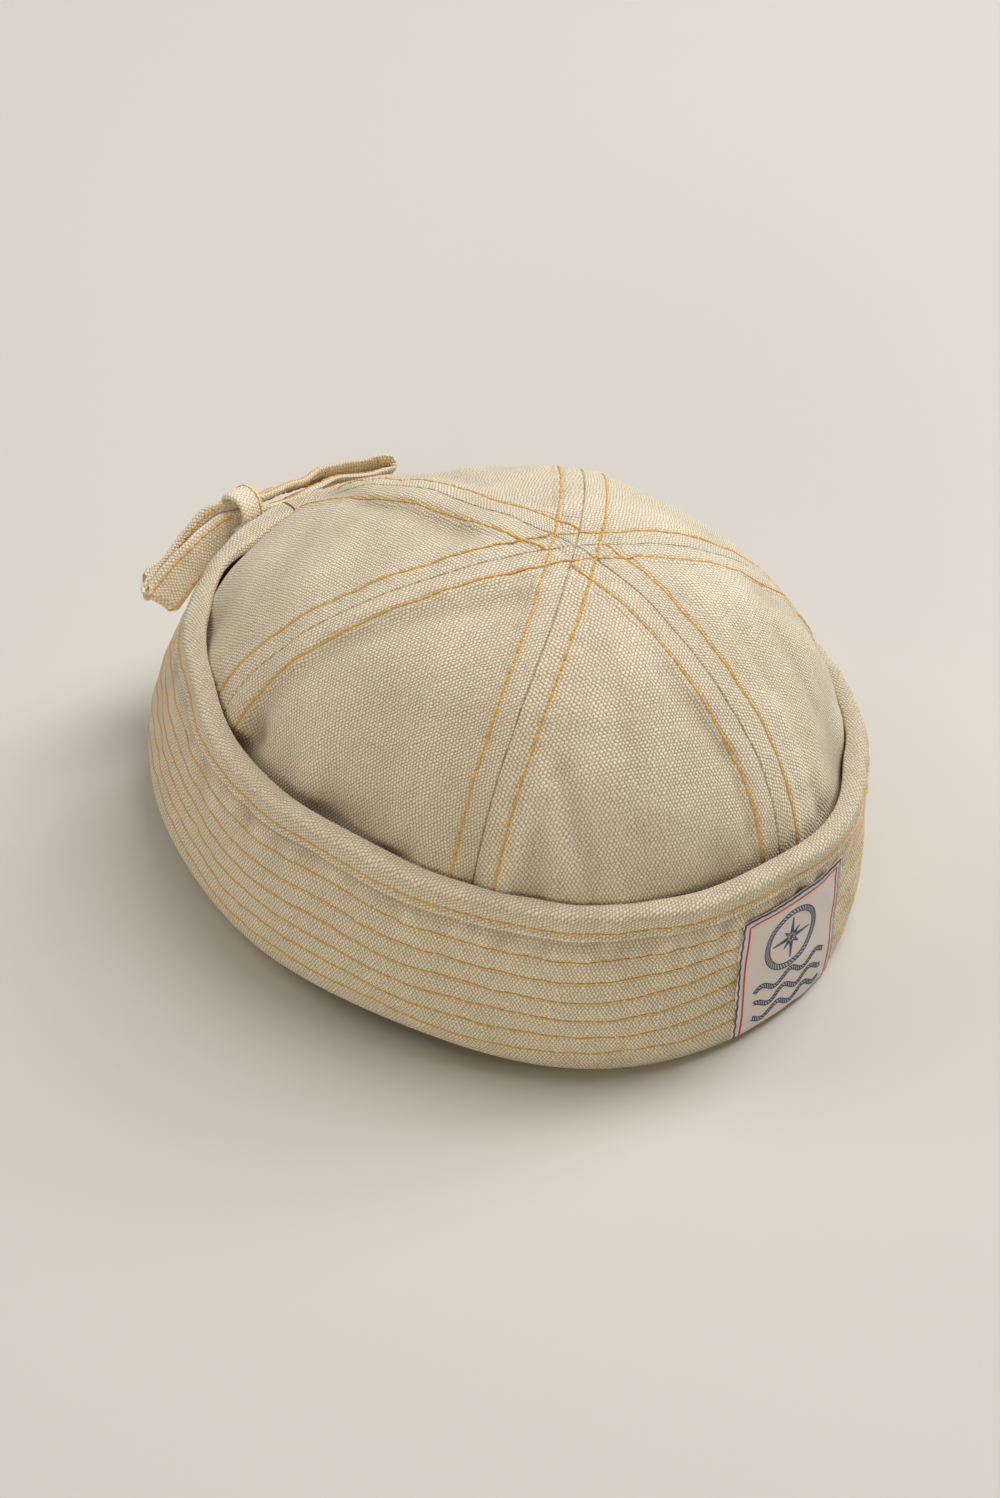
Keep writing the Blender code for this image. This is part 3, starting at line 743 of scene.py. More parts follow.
@dataclass(frozen=True)
class CuffForm:
    """The turned-up cuff as a surface of azimuth and station.

    Station runs 0 to 1 over the rolled hem, 1 to 2 down the wall to the belly, 2 to 3 under to
    the floor, and 3 to 4 across the floor strip and up the short leg inside the crown. A drop
    is the outer face's path length in mm below the top of the hem. The relief is in mm and the
    painted light and shade a share. Lines are the drops of the rows of stitching. Swells are rows
    of an azimuth in degrees and how far the hem and the belly stand out there.
    """

    crown: CrownForm = CrownForm()
    hem_line: Oval = Oval(81.8, 105.5, 102.0, 2.07)
    hem_radius: float = 2.1
    belly: Oval = Oval(88.4, 105.6, 120.7, 2.2)
    belly_heights: tuple[tuple[float, float], ...] = (
        (0, 22.8), (60, 14.0), (120, 12.6), (180, 8.8))
    swell_spread: float = 22.0
    swells: tuple[tuple[float, float, float], ...] = (
        (180, -0.8, -0.5), (-150, -0.8, 0.6), (-120, -0.6, -0.2), (-90, 1.1, 2.1),
        (-60, -1.0, -1.2), (-30, 0.1, 0.3), (0, 0.0, -0.2), (30, -0.1, -0.3), (60, 0.9, 0.3),
        (90, 2.7, 0.0))
    wall: float = 2.4
    fit_gap: float = 0.45
    leg_gap: float = 0.75
    leg_wall: float = 1.6
    leg_top: float = 14.0
    floor_outer: float = 1.5
    floor_inner: float = -1.6
    inner_turn: tuple[float, float] = (-64.0, -174.0)
    outer_turn: tuple[float, float] = (-56.0, 90.0)
    roll_gap: float = 0.4
    roll_most: float = 1.5
    roll_limits: tuple[Bell, ...] = (
        Bell(1.8, 185.0, 26.0), Bell(-1.5, 10.0, 16.0), Bell(-3.0, -160.0, 8.0))
    roll_squareness: float = 0.55
    roll_lift: float = 0.2
    wobbles: tuple[Wave, Wave] = (Wave(0.5, 42.0, 51), Wave(0.5, 42.0, 52))
    ridge: float = 10.0
    lines: tuple[float, ...] = (7.6, 17.2, 24.0, 30.6, 37.2, 43.8, 50.5)
    hem_lift: tuple[float, float] = (1.0, 4.0)
    line_dip: Bell = Bell(-0.2, 0.0, 0.8)
    puff: float = 0.1
    puff_reach: float = 3.2
    ridge_relief: tuple[Bell, ...] = (Bell(0.45, 9.5, 0.5), Bell(-0.8, 11.0, 1.2))
    pucker_relief: float = 0.6
    fine: Wave = Wave(0.2, 9.0, 23)
    broad: Wave = Wave(0.5, 34.0, 24)
    fade_in: tuple[float, float] = (-2.5, 0.5)
    fade_out: tuple[float, float] = (52.0, 60.0)
    puckers: tuple[Wave, ...] = (Wave(0.45, 13.0, 21), Wave(0.7, 5.5, 22))
    pucker_radius: float = 95.0
    pucker_stretch: float = 0.25
    pucker_zones: tuple[Bell, ...] = (Bell(1.0, 13.8, 3.4), Bell(0.4, 20.6, 3.0))
    pucker_below: tuple[float, float] = (0.13, 22.0)
    pucker_above: float = 0.15
    # Painted shade in the puckers' hollows and painted light on their crests, and painted shade at
    # the rows.
    pucker_painted_light: float = 0.16
    line_painted_shade: Bell = Bell(-0.05, 0.0, 0.7)
    # Painted light and shade by drop: shade on the hem's top, a highlight along the ridge, a
    # shadow just under it and a broad shade below.
    painted_lights: tuple[Bell, ...] = (
        Bell(-0.22, -0.5, 3.6), Bell(0.2, 9.65, 0.4), Bell(-0.36, 10.75, 0.6),
        Bell(-0.08, 12.6, 2.4))

    @cached_property
    def roll_table(self) -> Array:
        """How much fatter the hem's roll is on its inner side, at every degree from -180.

        The roll swells until it nearly rests on the crown, within limits: more at the back,
        but leaving a slit by the right front and the left back.
        """
        degrees = np.arange(-180.0, 181.0)
        azimuth = np.radians(degrees)
        hem = self.hem_at(azimuth)
        turn, rise = np.meshgrid(azimuth, np.linspace(0.05, 0.6, 45), indexing="ij")
        crown = self.crown.cloth_at(turn, rise)
        low = (crown[..., 2] < hem[:, None, 2]).sum(axis=1).clip(1, 44) - 1
        rows = np.arange(len(degrees))
        below, above = crown[rows, low], crown[rows, low + 1]
        part = (hem[:, 2] - below[:, 2]) / (above[:, 2] - below[:, 2])
        wall = below + (above - below) * part[:, None]
        room = ((hem - wall) * self.hem_line.outward(azimuth)).sum(axis=1)
        most = sum((limit.round_at(degrees) for limit in self.roll_limits), self.roll_most)
        room = np.clip(room - self.hem_radius - self.roll_gap, 0.0, np.maximum(most, 0.0))
        return soften(np.concatenate([room[-7:-1], room, room[1:7]]), 6)

    def roll_fill(self, azimuth: Array) -> Array:
        """Return the roll's extra thickness at each azimuth, shape (..., 1)."""
        degrees = wrapped(np.degrees(azimuth))
        return np.interp(degrees, np.arange(-180.0, 181.0), self.roll_table)[..., None]

    def swell(self, azimuth: Array, which: int) -> Array:
        """Return how far the hem (1) or the belly (2) stands out, the sum of the bells."""
        return sum(Bell(row[which], row[0], self.swell_spread).round_at(np.degrees(azimuth))
                   for row in self.swells)[..., None]

    def hem_at(self, azimuth: Array) -> Array:
        """Return the hem's centre line: its oval and heights, swollen, with a soft wobble."""
        hem = self.hem_line.at(azimuth, height_from(HEM_HEIGHTS, azimuth))
        out, up = (wobble.at(hem * LEVEL)[..., None] for wobble in self.wobbles)
        return hem + self.hem_line.outward(azimuth) * (self.swell(azimuth, 1) + out) + UP * up

    def side(self, azimuth: Array, station: Array, inside: bool = False) -> Array:
        """Return one face of the cuff's cloth.

        The hem is an arc about its centre line. The wall goes from it to the belly by
        sin(share 90 degrees) outwards and evenly down, the underside is a quarter ellipse from
        the belly to the floor, and the leg follows the crown's skirt at a small gap.

        Args:
            azimuth: azimuths in radians.
            station: stations from 0 to 4, the same shape.
            inside: the face towards the crown, or else the outer one.

        Returns:
            The points, shape (..., 3).
        """
        crown, radius = self.crown, self.hem_radius
        aside, belly_aside, foot_aside = (
            oval.outward(azimuth) for oval in (self.hem_line, self.belly, crown.foot))
        hem, foot = self.hem_at(azimuth), crown.foot.at(azimuth)
        belly = self.belly.at(azimuth, height_from(self.belly_heights, azimuth))
        belly = belly + belly_aside * self.swell(azimuth, 2)
        share = [np.clip(station - k, 0.0, 1.0)[..., None] for k in range(4)]
        leg_gap = crown.cloth + self.leg_gap
        if inside:
            start, end = self.inner_turn
            top = hem + (radius - self.wall) * aside - radius * UP
            waist = belly - self.wall * belly_aside
            ground = foot + self.fit_gap * foot_aside + self.wall * UP
            leg_foot = foot - crown.cloth * foot_aside + self.wall * UP
        else:
            start, end = self.outer_turn
            top, waist = hem + radius * aside, belly
            ground = foot + self.floor_outer * foot_aside
            leg_foot = foot + self.floor_inner * foot_aside
            leg_gap += self.leg_wall
        turn, fill = np.radians(start + (end - start) * share[0]), self.roll_fill(azimuth)
        lean = np.cos(turn)
        lean = np.where((turn < 0.0) & (lean > 0.0), np.abs(lean) ** self.roll_squareness, lean)
        roll = (hem + ((radius + fill / 2.0) * np.sin(turn) - fill / 2.0) * aside
                + (radius + fill * self.roll_lift) * lean * UP)
        wall = top + (waist - top) * (np.sin(share[1] * math.pi / 2.0) * LEVEL + share[1] * UP)
        bend = share[2] * math.pi / 2.0
        under = ground + (waist - ground) * (np.cos(bend) * LEVEL + (1.0 - np.sin(bend)) * UP)
        strip = np.clip(share[3] * 3.0, 0.0, 1.0)
        rise = np.clip(share[3] * 1.5 - 0.5, 0.0, 1.0)
        height = self.wall + (self.leg_top - self.wall) * rise[..., 0]
        climb = np.maximum(height, crown.foot_height) - crown.foot_height
        skirt = crown.base(azimuth, climb / (crown.widest_height - crown.foot_height) - 1.0)
        skirt[..., 2] = height
        skirt = skirt - leg_gap * foot_aside
        leg = np.where(strip < 1.0, ground + (leg_foot - ground) * strip,
                       leg_foot + (skirt - leg_foot) * smooth_step(0.0, 0.25, rise))
        here = station[..., None]
        return np.select([here <= 1.0, here <= 2.0, here <= 3.0], [roll, wall, under], leg)

    def normals(self, azimuth: Array, station: Array) -> Array:
        """Return the outer face's unit normals, from differences of its points."""
        step = SMALL_TURN
        along = self.side(azimuth + step, station) - self.side(azimuth - step, station)
        down = (self.side(azimuth, np.minimum(station + step, 4.0))
                - self.side(azimuth, np.maximum(station - step, 0.0)))
        return unit(np.cross(down, along))

    def relief(self, azimuth: Array, drop: Array, points: Array) -> Array:
        """Return what sewing adds to the outer face, in millimetres along its normal.

        The turned-in hem lifts the cloth down to the ridge, each row is a dip with a soft
        swelling between two rows, and uneven puckers run down from the ridge.
        """
        nearest = self.line_distance(drop)
        puff = np.clip(nearest / self.puff_reach, 0.0, 1.0) ** 0.8
        step = smooth_step(self.ridge - 0.05, self.ridge + 0.45, drop)
        sewn = smooth_step(*self.hem_lift, drop) * (1.0 - step) + self.line_dip.at(nearest)
        sewn += self.puff * puff * (drop > self.ridge)
        sewn += sum(bump.at(drop) for bump in self.ridge_relief) + self.fine.at(points)
        sewn += self.pucker_relief * self.pucker(azimuth, drop)
        sewn += self.broad.at(points) * smooth_step(0.0, 8.0, drop)
        return sewn * (1.0 - smooth_step(*self.fade_out, drop)) * smooth_step(*self.fade_in, drop)

    def line_distance(self, drop: Array) -> Array:
        """Return the distance to the nearest row of stitching."""
        return np.abs(drop[..., None] - np.array(self.lines)).min(axis=-1)

    def pucker(self, azimuth: Array, drop: Array) -> Array:
        """Return the uneven puckers, about -1 to 1, strongest just below the ridge."""
        arc = np.stack([np.sin(azimuth), np.cos(azimuth), 0.0 * azimuth], axis=-1)
        arc *= self.pucker_radius
        arc[..., 2] = drop * self.pucker_stretch
        least, least_from = self.pucker_below
        zone = sum(zone.at(drop) for zone in self.pucker_zones) + least * (drop > least_from)
        zone += self.pucker_above * (1.0 - smooth_step(self.ridge - 1.0, self.ridge, drop))
        return sum(wave.at(arc) for wave in self.puckers) * zone

    def tone(self, azimuth: Array, drop: Array) -> Array:
        """Return the painted light and shade: painted shade in the puckers' hollows, on the hem's
        top, under the ridge and at the rows, painted light on the puckers' crests and along the
        ridge.
        """
        return (self.pucker_painted_light * self.pucker(azimuth, drop)
                + self.line_painted_shade.at(self.line_distance(drop))
                + sum(tone.at(drop) for tone in self.painted_lights))


@dataclass
class Cuff:
    """The cuff's cloth, its rows of stitching and the measures that lay things on it.

    The flat size is in metres. The mesh's lines lie at hem_drops and ridge_drops, and at
    around_lines mm from each row; between_lines are shares of the way from row to row.
    """

    form: CuffForm
    flat: tuple[float, float] = (0.615, 0.085)
    columns: int = 500
    split: float = math.radians(176.5)
    half_gap: float = 0.45 / 81.8
    row_inset: float = 0.03
    row_points: int = 900
    hem_bias: float = math.radians(32.0)
    waist_station: float = 1.6
    under_lines: int = 10
    leg_lines: int = 6
    roll_stations: int = 25
    around_lines: tuple[float, ...] = (-1.2, -0.65, -0.28, 0.0, 0.28, 0.65, 1.2)
    between_lines: tuple[float, ...] = (0.36, 0.5, 0.64)
    hem_drops: tuple[float, ...] = (-1.3, -0.5, 0.3, 1.1, 1.9, 2.7, 3.6, 4.6, 5.5)
    ridge_drops: tuple[float, ...] = (9.1, 9.55, 9.9, 10.15, 10.4, 10.8, 12.2, 13.6, 15.0)

    def __post_init__(self) -> None:
        """Measure the outer face's path length from the top of the hem, as a table."""
        self.table_azimuth = np.linspace(-math.pi, math.pi, 361)
        self.table_station = np.concatenate([np.linspace(0.0, 1.0, self.roll_stations),
                                             np.linspace(1.0, 4.0, 181)[1:]])
        azimuth, station = np.meshgrid(self.table_azimuth, self.table_station, indexing="ij")
        steps = np.linalg.norm(np.diff(self.form.side(azimuth, station), axis=1), axis=-1)
        walked = np.concatenate([np.zeros((len(azimuth), 1)), np.cumsum(steps, axis=1)], axis=1)
        start, end = self.form.outer_turn
        part, top = math.modf(self.roll_stations * -start / (end - start))
        before, after = walked[:, int(top)], walked[:, int(top) + 1]
        self.table_drop = walked - (before + part * (after - before))[:, None]

    def drop_at(self, azimuth: Array, station: Array) -> Array:
        """Return the path length below the top of the hem, bilinear in the table."""
        table, last = self.table_drop, len(self.table_azimuth) - 1
        turn = (wrapped(np.degrees(azimuth)) + 180.0) / 360.0 * last
        row = np.clip(turn.astype(int), 0, last - 1)
        column = np.interp(station, self.table_station, np.arange(len(self.table_station)))
        left = np.clip(column.astype(int), 0, len(self.table_station) - 2)
        p, q = turn - row, column - left
        upper = table[row, left] * (1 - q) + table[row, left + 1] * q
        lower = table[row + 1, left] * (1 - q) + table[row + 1, left + 1] * q
        return upper * (1 - p) + lower * p

    def station_at(self, azimuth: Array, drop: Array) -> Array:
        """Return the station at each drop, by halving the range of stations 24 times."""
        low, high = np.zeros_like(drop), np.full_like(drop, 4.0)
        for _ in range(24):
            middle = (low + high) / 2.0
            under = self.drop_at(azimuth, middle) < drop
            low, high = np.where(under, middle, low), np.where(under, high, middle)
        return (low + high) / 2.0

    def cloth_at(self, azimuth: Array, station: Array) -> Array:
        """Return the sewn outer face."""
        base, normal = self.form.side(azimuth, station), self.form.normals(azimuth, station)
        height = self.form.relief(azimuth, self.drop_at(azimuth, station), base)
        return curl_up(base + normal * height[..., None])

    def line_drops(self) -> Array:
        """Return the drops of the mesh's lines: close together at the rows and the ridge."""
        near, between = np.array(self.around_lines), np.array(self.between_lines)
        first, *rows = self.form.lines
        drops = [self.hem_drops, first + near, self.ridge_drops, rows[0] + near]
        for before, row in zip(rows, rows[1:]):
            drops += [before + (row - before) * between, row + near]
        return np.concatenate(drops)

    def band(self) -> Skin:
        """Return the whole cuff as one closed sheet, open only at the back split."""
        turn = np.linspace(self.split - 2.0 * math.pi + self.half_gap,
                           self.split - self.half_gap, self.columns + 1)
        azimuth, drop = np.meshgrid(turn, self.line_drops(), indexing="xy")
        upper = self.station_at(azimuth, drop)
        line = np.arange(1.0, self.under_lines + self.leg_lines + 1.0)[:, None]
        lower = upper[-1:] + (3.0 - upper[-1:]) * np.minimum(line / self.under_lines, 1.0)
        lower = lower + np.maximum(line - self.under_lines, 0.0) / self.leg_lines
        station = np.concatenate([0.0 * upper[:1], upper, lower])
        azimuth = np.broadcast_to(turn, station.shape)
        drop = self.drop_at(azimuth, station)
        middle = self.form.side(turn, np.full_like(turn, self.waist_station))
        uv = np.stack([np.broadcast_to(run_length(middle)[None], drop.shape), -drop], axis=-1)
        c, s = math.cos(self.hem_bias), math.sin(self.hem_bias)
        uv = np.where((drop < self.form.ridge)[..., None], uv @ np.array([[c, s], [-s, c]]), uv)
        return shell(self.cloth_at(azimuth, station),
                     curl_up(self.form.side(azimuth, station, inside=True)), uv,
                     self.form.tone(azimuth, drop)).turned()

    def row_path(self, drop: float) -> tuple[Array, Array]:
        """Return the azimuths and stations of the row at one drop, right round the cuff."""
        azimuth = np.linspace(self.split - 2.0 * math.pi + self.row_inset,
                              self.split - self.row_inset, self.row_points)
        return azimuth, self.station_at(azimuth, np.full_like(azimuth, drop))


# --- Stitches ---

# How far apart the u of two neighbouring stitches is; a stitch itself runs from -1 to 1.
STITCH_SHIFT = 4.0


@dataclass(frozen=True)
class Thread:
    """A lockstitch thread: sizes in millimetres."""

    pitch: float = 3.0
    stitch: float = 2.98
    radius: float = 0.24
    lift: float = 0.13
    dive: float = 0.40
    stations: int = 8
    corners: int = 6

    def row(self, path: Array, normal: Array, seed: int) -> Skin:
        """Return one row of separate stitches as small closed tubes.

        A stitch follows the path and arches over it: its height is
        lift - (lift + dive) |k|^14 for k from -1 to 1 along it, so both ends go down into
        the cloth, and its radius shrinks by a third of k^4.

        Args:
            path: points on the cloth, shape (n, 3).
            normal: the cloth's outward normals there.
            seed: the seed for the small unevenness of place, length, slant and thickness.

        Returns:
            All the row's stitches, their u from -1 to 1 along each and v round it.
        """
        rng = np.random.default_rng(seed)
        total = run_length(path)[-1]
        count = max(1, int(total / self.pitch))
        centre = (np.arange(count) + 0.5) * total / count + rng.normal(0.0, 0.05, count)
        k = np.sin(np.linspace(-1.0, 1.0, self.stations) * math.pi / 2.0)
        where = centre[:, None] + k[None] * self.stitch / 2.0 * rng.uniform(0.95, 1.04, (count, 1))
        both = at_lengths(np.hstack([path, normal]), where)
        spot, up = both[..., :3], unit(both[..., 3:])
        side = np.cross(unit(np.gradient(spot, axis=1)), up)
        arch = self.lift - (self.lift + self.dive) * np.abs(k) ** 14
        slant = rng.normal(0.0, 0.06, (count, 1)) + k[None] * rng.normal(0.06, 0.04, (count, 1))
        middle = spot + up * arch[None, :, None] + side * slant[..., None]
        radius = self.radius * (1.0 - 0.33 * np.abs(k) ** 4) * rng.uniform(0.92, 1.1, (count, 1))
        turn = np.linspace(0.0, 2.0 * math.pi, self.corners + 1)[:-1, None]
        ring = side[:, :, None] * np.cos(turn) + up[:, :, None] * np.sin(turn)
        points = middle[:, :, None] + ring * radius[:, :, None, None]
        station, across = np.divmod(grid_quads(self.stations, self.corners + 1), self.corners + 1)
        quads = np.vstack([station * self.corners + across % self.corners,
                           end_quads(self.corners, (self.stations - 1) * self.corners)])
        first = np.arange(count)[:, None, None]
        quads = (quads + first * self.stations * self.corners).reshape(-1, 4)
        uv = np.stack(np.broadcast_arrays(k[None, :, None] + STITCH_SHIFT * first, turn.T[None]),
                      axis=-1)
        return Skin(points.reshape(-1, 3), quads, uv.reshape(-1, 2))


# --- Patch ---

def left_of(heading: Array) -> Array:
    """Return the directions square to flat headings."""
    return np.stack([-heading[:, 1], heading[:, 0]], axis=-1)


def along_corners(corners: Array, count: int) -> Array:
    """Return count points spread evenly by corner along the straight lines through corners."""
    numbers = np.arange(len(corners))
    fine = np.linspace(0.0, numbers[-1], count)
    return np.stack([np.interp(fine, numbers, column) for column in corners.T], axis=-1)


@dataclass(frozen=True)
class Patch:
    """The woven patch on the front of the cuff, with its frame, border and motif.

    Places on it are millimetres across from its left edge and down from its top edge. Top and
    bottom are drops on the cuff, and the flat size is in metres.
    """

    cuff: Cuff
    flat: tuple[float, float] = (0.041, 0.0435)
    width: float = 41.0
    centre_x: float = 1.0
    top: float = 15.6
    bottom: float = 59.0
    gap: float = 0.45
    thickness: float = 0.55
    ripple: Wave = Wave(0.12, 11.0, 31)
    drawn: float = 0.35
    drawn_reach: float = 0.12
    edge_roll: float = 0.3
    thread_lift: float = 0.1
    thread_sink: float = 0.15
    frame_inset: float = 2.1
    frame_width: float = 0.55
    edge_width: float = 0.4
    edge_lift: float = 0.14
    line_width: float = 0.3
    strand_width: float = 0.42
    strand_slant: float = 0.62
    ring_centre: tuple[float, float] = (19.5, 15.5)
    ring_radius: float = 9.6
    star_radius: float = 7.4
    wave_rows: tuple[float, ...] = (29.0, 34.0, 39.0)
    wave_inset: float = 6.0
    wave_height: float = 1.5

    @property
    def length(self) -> float:
        """The patch's length down the cuff, in millimetres."""
        return self.bottom - self.top

    def at(self, across: Array, down: Array, lift: Array | float = 0.0) -> Array:
        """Return points that lie lift mm above the patch's front.

        They follow the cuff's smooth form and have soft ripples, but none of the cuff's rows.
        """
        form = self.cuff.form
        fine = np.radians(np.linspace(-30.0, 30.0, 241))
        x = self.centre_x - self.width / 2.0 + across
        azimuth = np.interp(x, form.belly.at(fine)[:, 0], fine)
        station = self.cuff.station_at(azimuth, self.top + down)
        ripple = self.ripple.at(np.stack([across, down], axis=-1))
        height = self.gap + self.thickness + ripple + lift
        return curl_up(form.side(azimuth, station)
                       + form.normals(azimuth, station) * height[..., None])

    def cloth(self) -> Skin:
        """Return the patch as a closed sheet with slightly drawn-in edges."""
        s, t = np.meshgrid(np.linspace(0.0, 1.0, 83), np.linspace(0.0, 1.0, 81), indexing="xy")
        drawn = self.drawn * np.sin(t * math.pi * 6.0) * (1.0 - 2.0 * s)
        to_side, to_end = np.minimum(s, 1.0 - s), np.minimum(t, 1.0 - t)
        across = s * self.width + drawn * bell(to_side, 0.0, self.drawn_reach)
        down = t * self.length
        edge = np.minimum(to_side * self.width, to_end * self.length)
        front = self.at(across, down, -self.edge_roll * np.exp(-edge / 0.35))
        return shell(front, self.at(across, down, -self.thickness),
                     np.stack([across, -down], axis=-1)).turned()

    def ribbon(self, line: Array, width: float, lift: float | None = None) -> Skin:
        """Return a flat thread laid on the patch along a line of (across, down) points."""
        path = np.c_[line, np.zeros(len(line))]
        side = np.cross(tangents(path), UP)[:, :2] * width / 2.0
        across, down = np.moveaxis(np.stack([line - side, line + side]), -1, 0)
        uv = np.stack(np.broadcast_arrays(run_length(path), [[0.0], [width]]), axis=-1)
        return shell(self.at(across, down, self.thread_lift if lift is None else lift),
                     self.at(across, down, -self.thread_sink), uv)

    def rope(self, line: Array, width: float, twist: float) -> Skin:
        """Return a laid rope along a line: slanting strands inside two fine edge lines.

        Args:
            line: its (across, down) points.
            width: its width in millimetres.
            twist: the distance from strand to strand in millimetres.

        Returns:
            All its threads.
        """
        path = np.c_[line, np.zeros(len(line))]
        total = run_length(path)[-1]
        count = int(total / twist)
        k = np.linspace(-1.0, 1.0, 5)
        strands = []
        for number in range(count):
            where = (number + 0.5) * total / count + k * twist * self.strand_slant
            along, after, before = (at_lengths(path, np.clip(where + step, 0.0, total))[:, :2]
                                    for step in (0.0, 0.2, -0.2))
            aside = left_of(unit(after - before)) * (k * width / 2.0)[:, None]
            strands.append(self.ribbon(along + aside, self.strand_width))
        aside = left_of(tangents(path)) * width / 2.0
        return Skin.joined(strands + [self.ribbon(line + aside, self.line_width),
                                      self.ribbon(line - aside, self.line_width)])

    def frame_line(self) -> Skin:
        """Return the thin red frame line up both sides and across the top, set in from them."""
        corners = np.array([[0.0, 1.0], [0.0, 0.0], [1.0, 0.0], [1.0, 1.0]])
        line = along_corners(corners, 241)
        size = np.array([self.width - 2.0 * self.frame_inset,
                         self.length - self.frame_inset - 0.2])
        wave = 0.12 * np.sin(np.linspace(0.0, 27.0, len(line)))[:, None]
        return self.ribbon(self.frame_inset + line * size + wave, self.frame_width)

    def side_edge(self, across: float) -> Skin:
        """Return the whipped threads down one side, so far across."""
        down = np.linspace(0.3, self.length - 0.3, 90)
        line = np.stack([across + 0.15 * np.sin(down * 1.7), down], axis=-1)
        return self.ribbon(line, self.edge_width, self.edge_lift)

    def top_edge(self) -> Skin:
        """Return the dark thread along the top."""
        across = np.linspace(0.3, self.width - 0.3, 80)
        line = np.stack([across, 0.25 + 0.1 * np.sin(across * 1.9)], axis=-1)
        return self.ribbon(line, self.edge_width, self.edge_lift)

    def star(self, centre: Array) -> list[Skin]:
        """Return an eight-pointed compass star, drawn in outline with a line down each point.

        Its points lie at its radius and at 0.55 of it in turn, and its notches at 0.2 of it.
        """
        turn = np.arange(17) * math.pi / 8.0
        reach = self.star_radius * np.array((1.0, 0.2, 0.55, 0.2) * 4 + (1.0,))
        tips = centre + reach[:, None] * chart_axes(turn)[0]
        spokes = [self.ribbon(along_corners(np.stack([centre, tip]), 9), self.line_width)
                  for tip in tips[:-1:2]]
        return [self.ribbon(along_corners(tips, 161), 0.34)] + spokes

    def motif(self) -> Skin:
        """Return all that is navy: two edges, a rope ring about a star and three rope waves."""
        centre = np.array(self.ring_centre)
        turn = np.linspace(0.0, 2.0 * math.pi, 121)
        parts = [self.rope(centre + self.ring_radius * chart_axes(turn)[0], 1.7, 1.25),
                 self.side_edge(0.3), self.top_edge(), *self.star(centre)]
        across = np.linspace(self.wave_inset, self.width - self.wave_inset, 90)
        for number, down in enumerate(self.wave_rows):
            wave = down + self.wave_height * np.sin(across * 0.55 + 1.2 * number)
            parts.append(self.rope(np.stack([across, wave], axis=-1), 1.35, 1.15))
        return Skin.joined(parts)


class Finish(Enum):
    """Which finish a piece takes."""

    CANVAS = "canvas"
    TIE = "tie_canvas"
    PATCH = "label_cloth"
    THREAD = "stitch_thread"
    NAVY = "navy_thread"
    GREY = "grey_thread"
    RED = "red_thread"


# --- Finishes ---

class Graph:
    """Adds nodes to one tree and joins them up."""

    def __init__(self, tree: bpy.types.NodeTree) -> None:
        """Keep the tree that nodes are added to."""
        self.tree = tree

    def node(self, kind: str, **settings: object) -> bpy.types.Node:
        """Add a node and set its properties."""
        made = self.tree.nodes.new(kind)
        for name, value in settings.items():
            setattr(made, name, value)
        return made

    def feed(self, socket: bpy.types.NodeSocket, value: object) -> None:
        """Set a socket to a number or colour, or link it to another socket."""
        if isinstance(value, bpy.types.NodeSocket):
            self.tree.links.new(value, socket)
        else:
            socket.default_value = value

    def fill(self, node: bpy.types.Node, **values: object) -> bpy.types.Node:
        """Feed a node's named inputs, with underscores for the spaces in their names."""
        for name, value in values.items():
            self.feed(node.inputs[name.replace("_", " ")], value)
        return node

    def given(self, kind: str, *values: object, **settings: object) -> bpy.types.Node:
        """Add a node and feed its first inputs in order."""
        made = self.node(kind, **settings)
        for socket, value in zip(made.inputs, values):
            self.feed(socket, value)
        return made

    def math(self, operation: str, *values: object) -> bpy.types.NodeSocket:
        """Add a Math node and return its result."""
        return self.given("ShaderNodeMath", *values, operation=operation).outputs[0]

    def product(self, *values: object) -> bpy.types.NodeSocket:
        """Return the product of two values."""
        return self.math("MULTIPLY", *values)

    def swing(self, value: object, middle: float, size: float) -> bpy.types.NodeSocket:
        """Return (value - middle) * size."""
        return self.product(self.math("SUBTRACT", value, middle), size)

    def noise(self, vector: object, scale: float, detail: float) -> bpy.types.NodeSocket:
        """Add a Noise Texture and return its value."""
        made = self.node("ShaderNodeTexNoise")
        return self.fill(made, Vector=vector, Scale=scale, Detail=detail).outputs[0]

    def mix(self, factor: object, first: object, second: object) -> bpy.types.NodeSocket:
        """Add a colour Mix node and return its colour."""
        made = self.node("ShaderNodeMix", data_type="RGBA")
        for number, value in ((0, factor), (6, first), (7, second)):
            self.feed(made.inputs[number], value)
        return made.outputs[2]

    def spread(self, *values: object) -> bpy.types.NodeSocket:
        """Map a value from one range to another: value, low, high, new low and new high."""
        return self.given("ShaderNodeMapRange", *values).outputs[0]

    def place(self) -> bpy.types.NodeSocket:
        """Return the place on the object, in metres."""
        return self.node("ShaderNodeTexCoord").outputs["Object"]

    def grain(self) -> bpy.types.NodeSocket:
        """Return the UV in millimetres."""
        return self.node("ShaderNodeUVMap", uv_map="grain").outputs[0]


class Surface(Graph):
    """A new material's nodes, with its Principled shader."""

    def __init__(self, name: str) -> None:
        """Make the material."""
        self.material = bpy.data.materials.new(name)
        self.material.use_nodes = True
        super().__init__(self.material.node_tree)
        self.shader = self.tree.nodes["Principled BSDF"]

    def finish(self, **values: object) -> bpy.types.Material:
        """Feed the shader's named inputs and return the material."""
        self.fill(self.shader, **values)
        return self.material

    def bump(self, height: object, depth: float) -> bpy.types.NodeSocket:
        """Return the normal of a height from 0 to 1 that is so many millimetres deep."""
        made = self.fill(self.node("ShaderNodeBump"), Height=height, Distance=depth * MM,
                         Strength=1.0)
        return made.outputs[0]


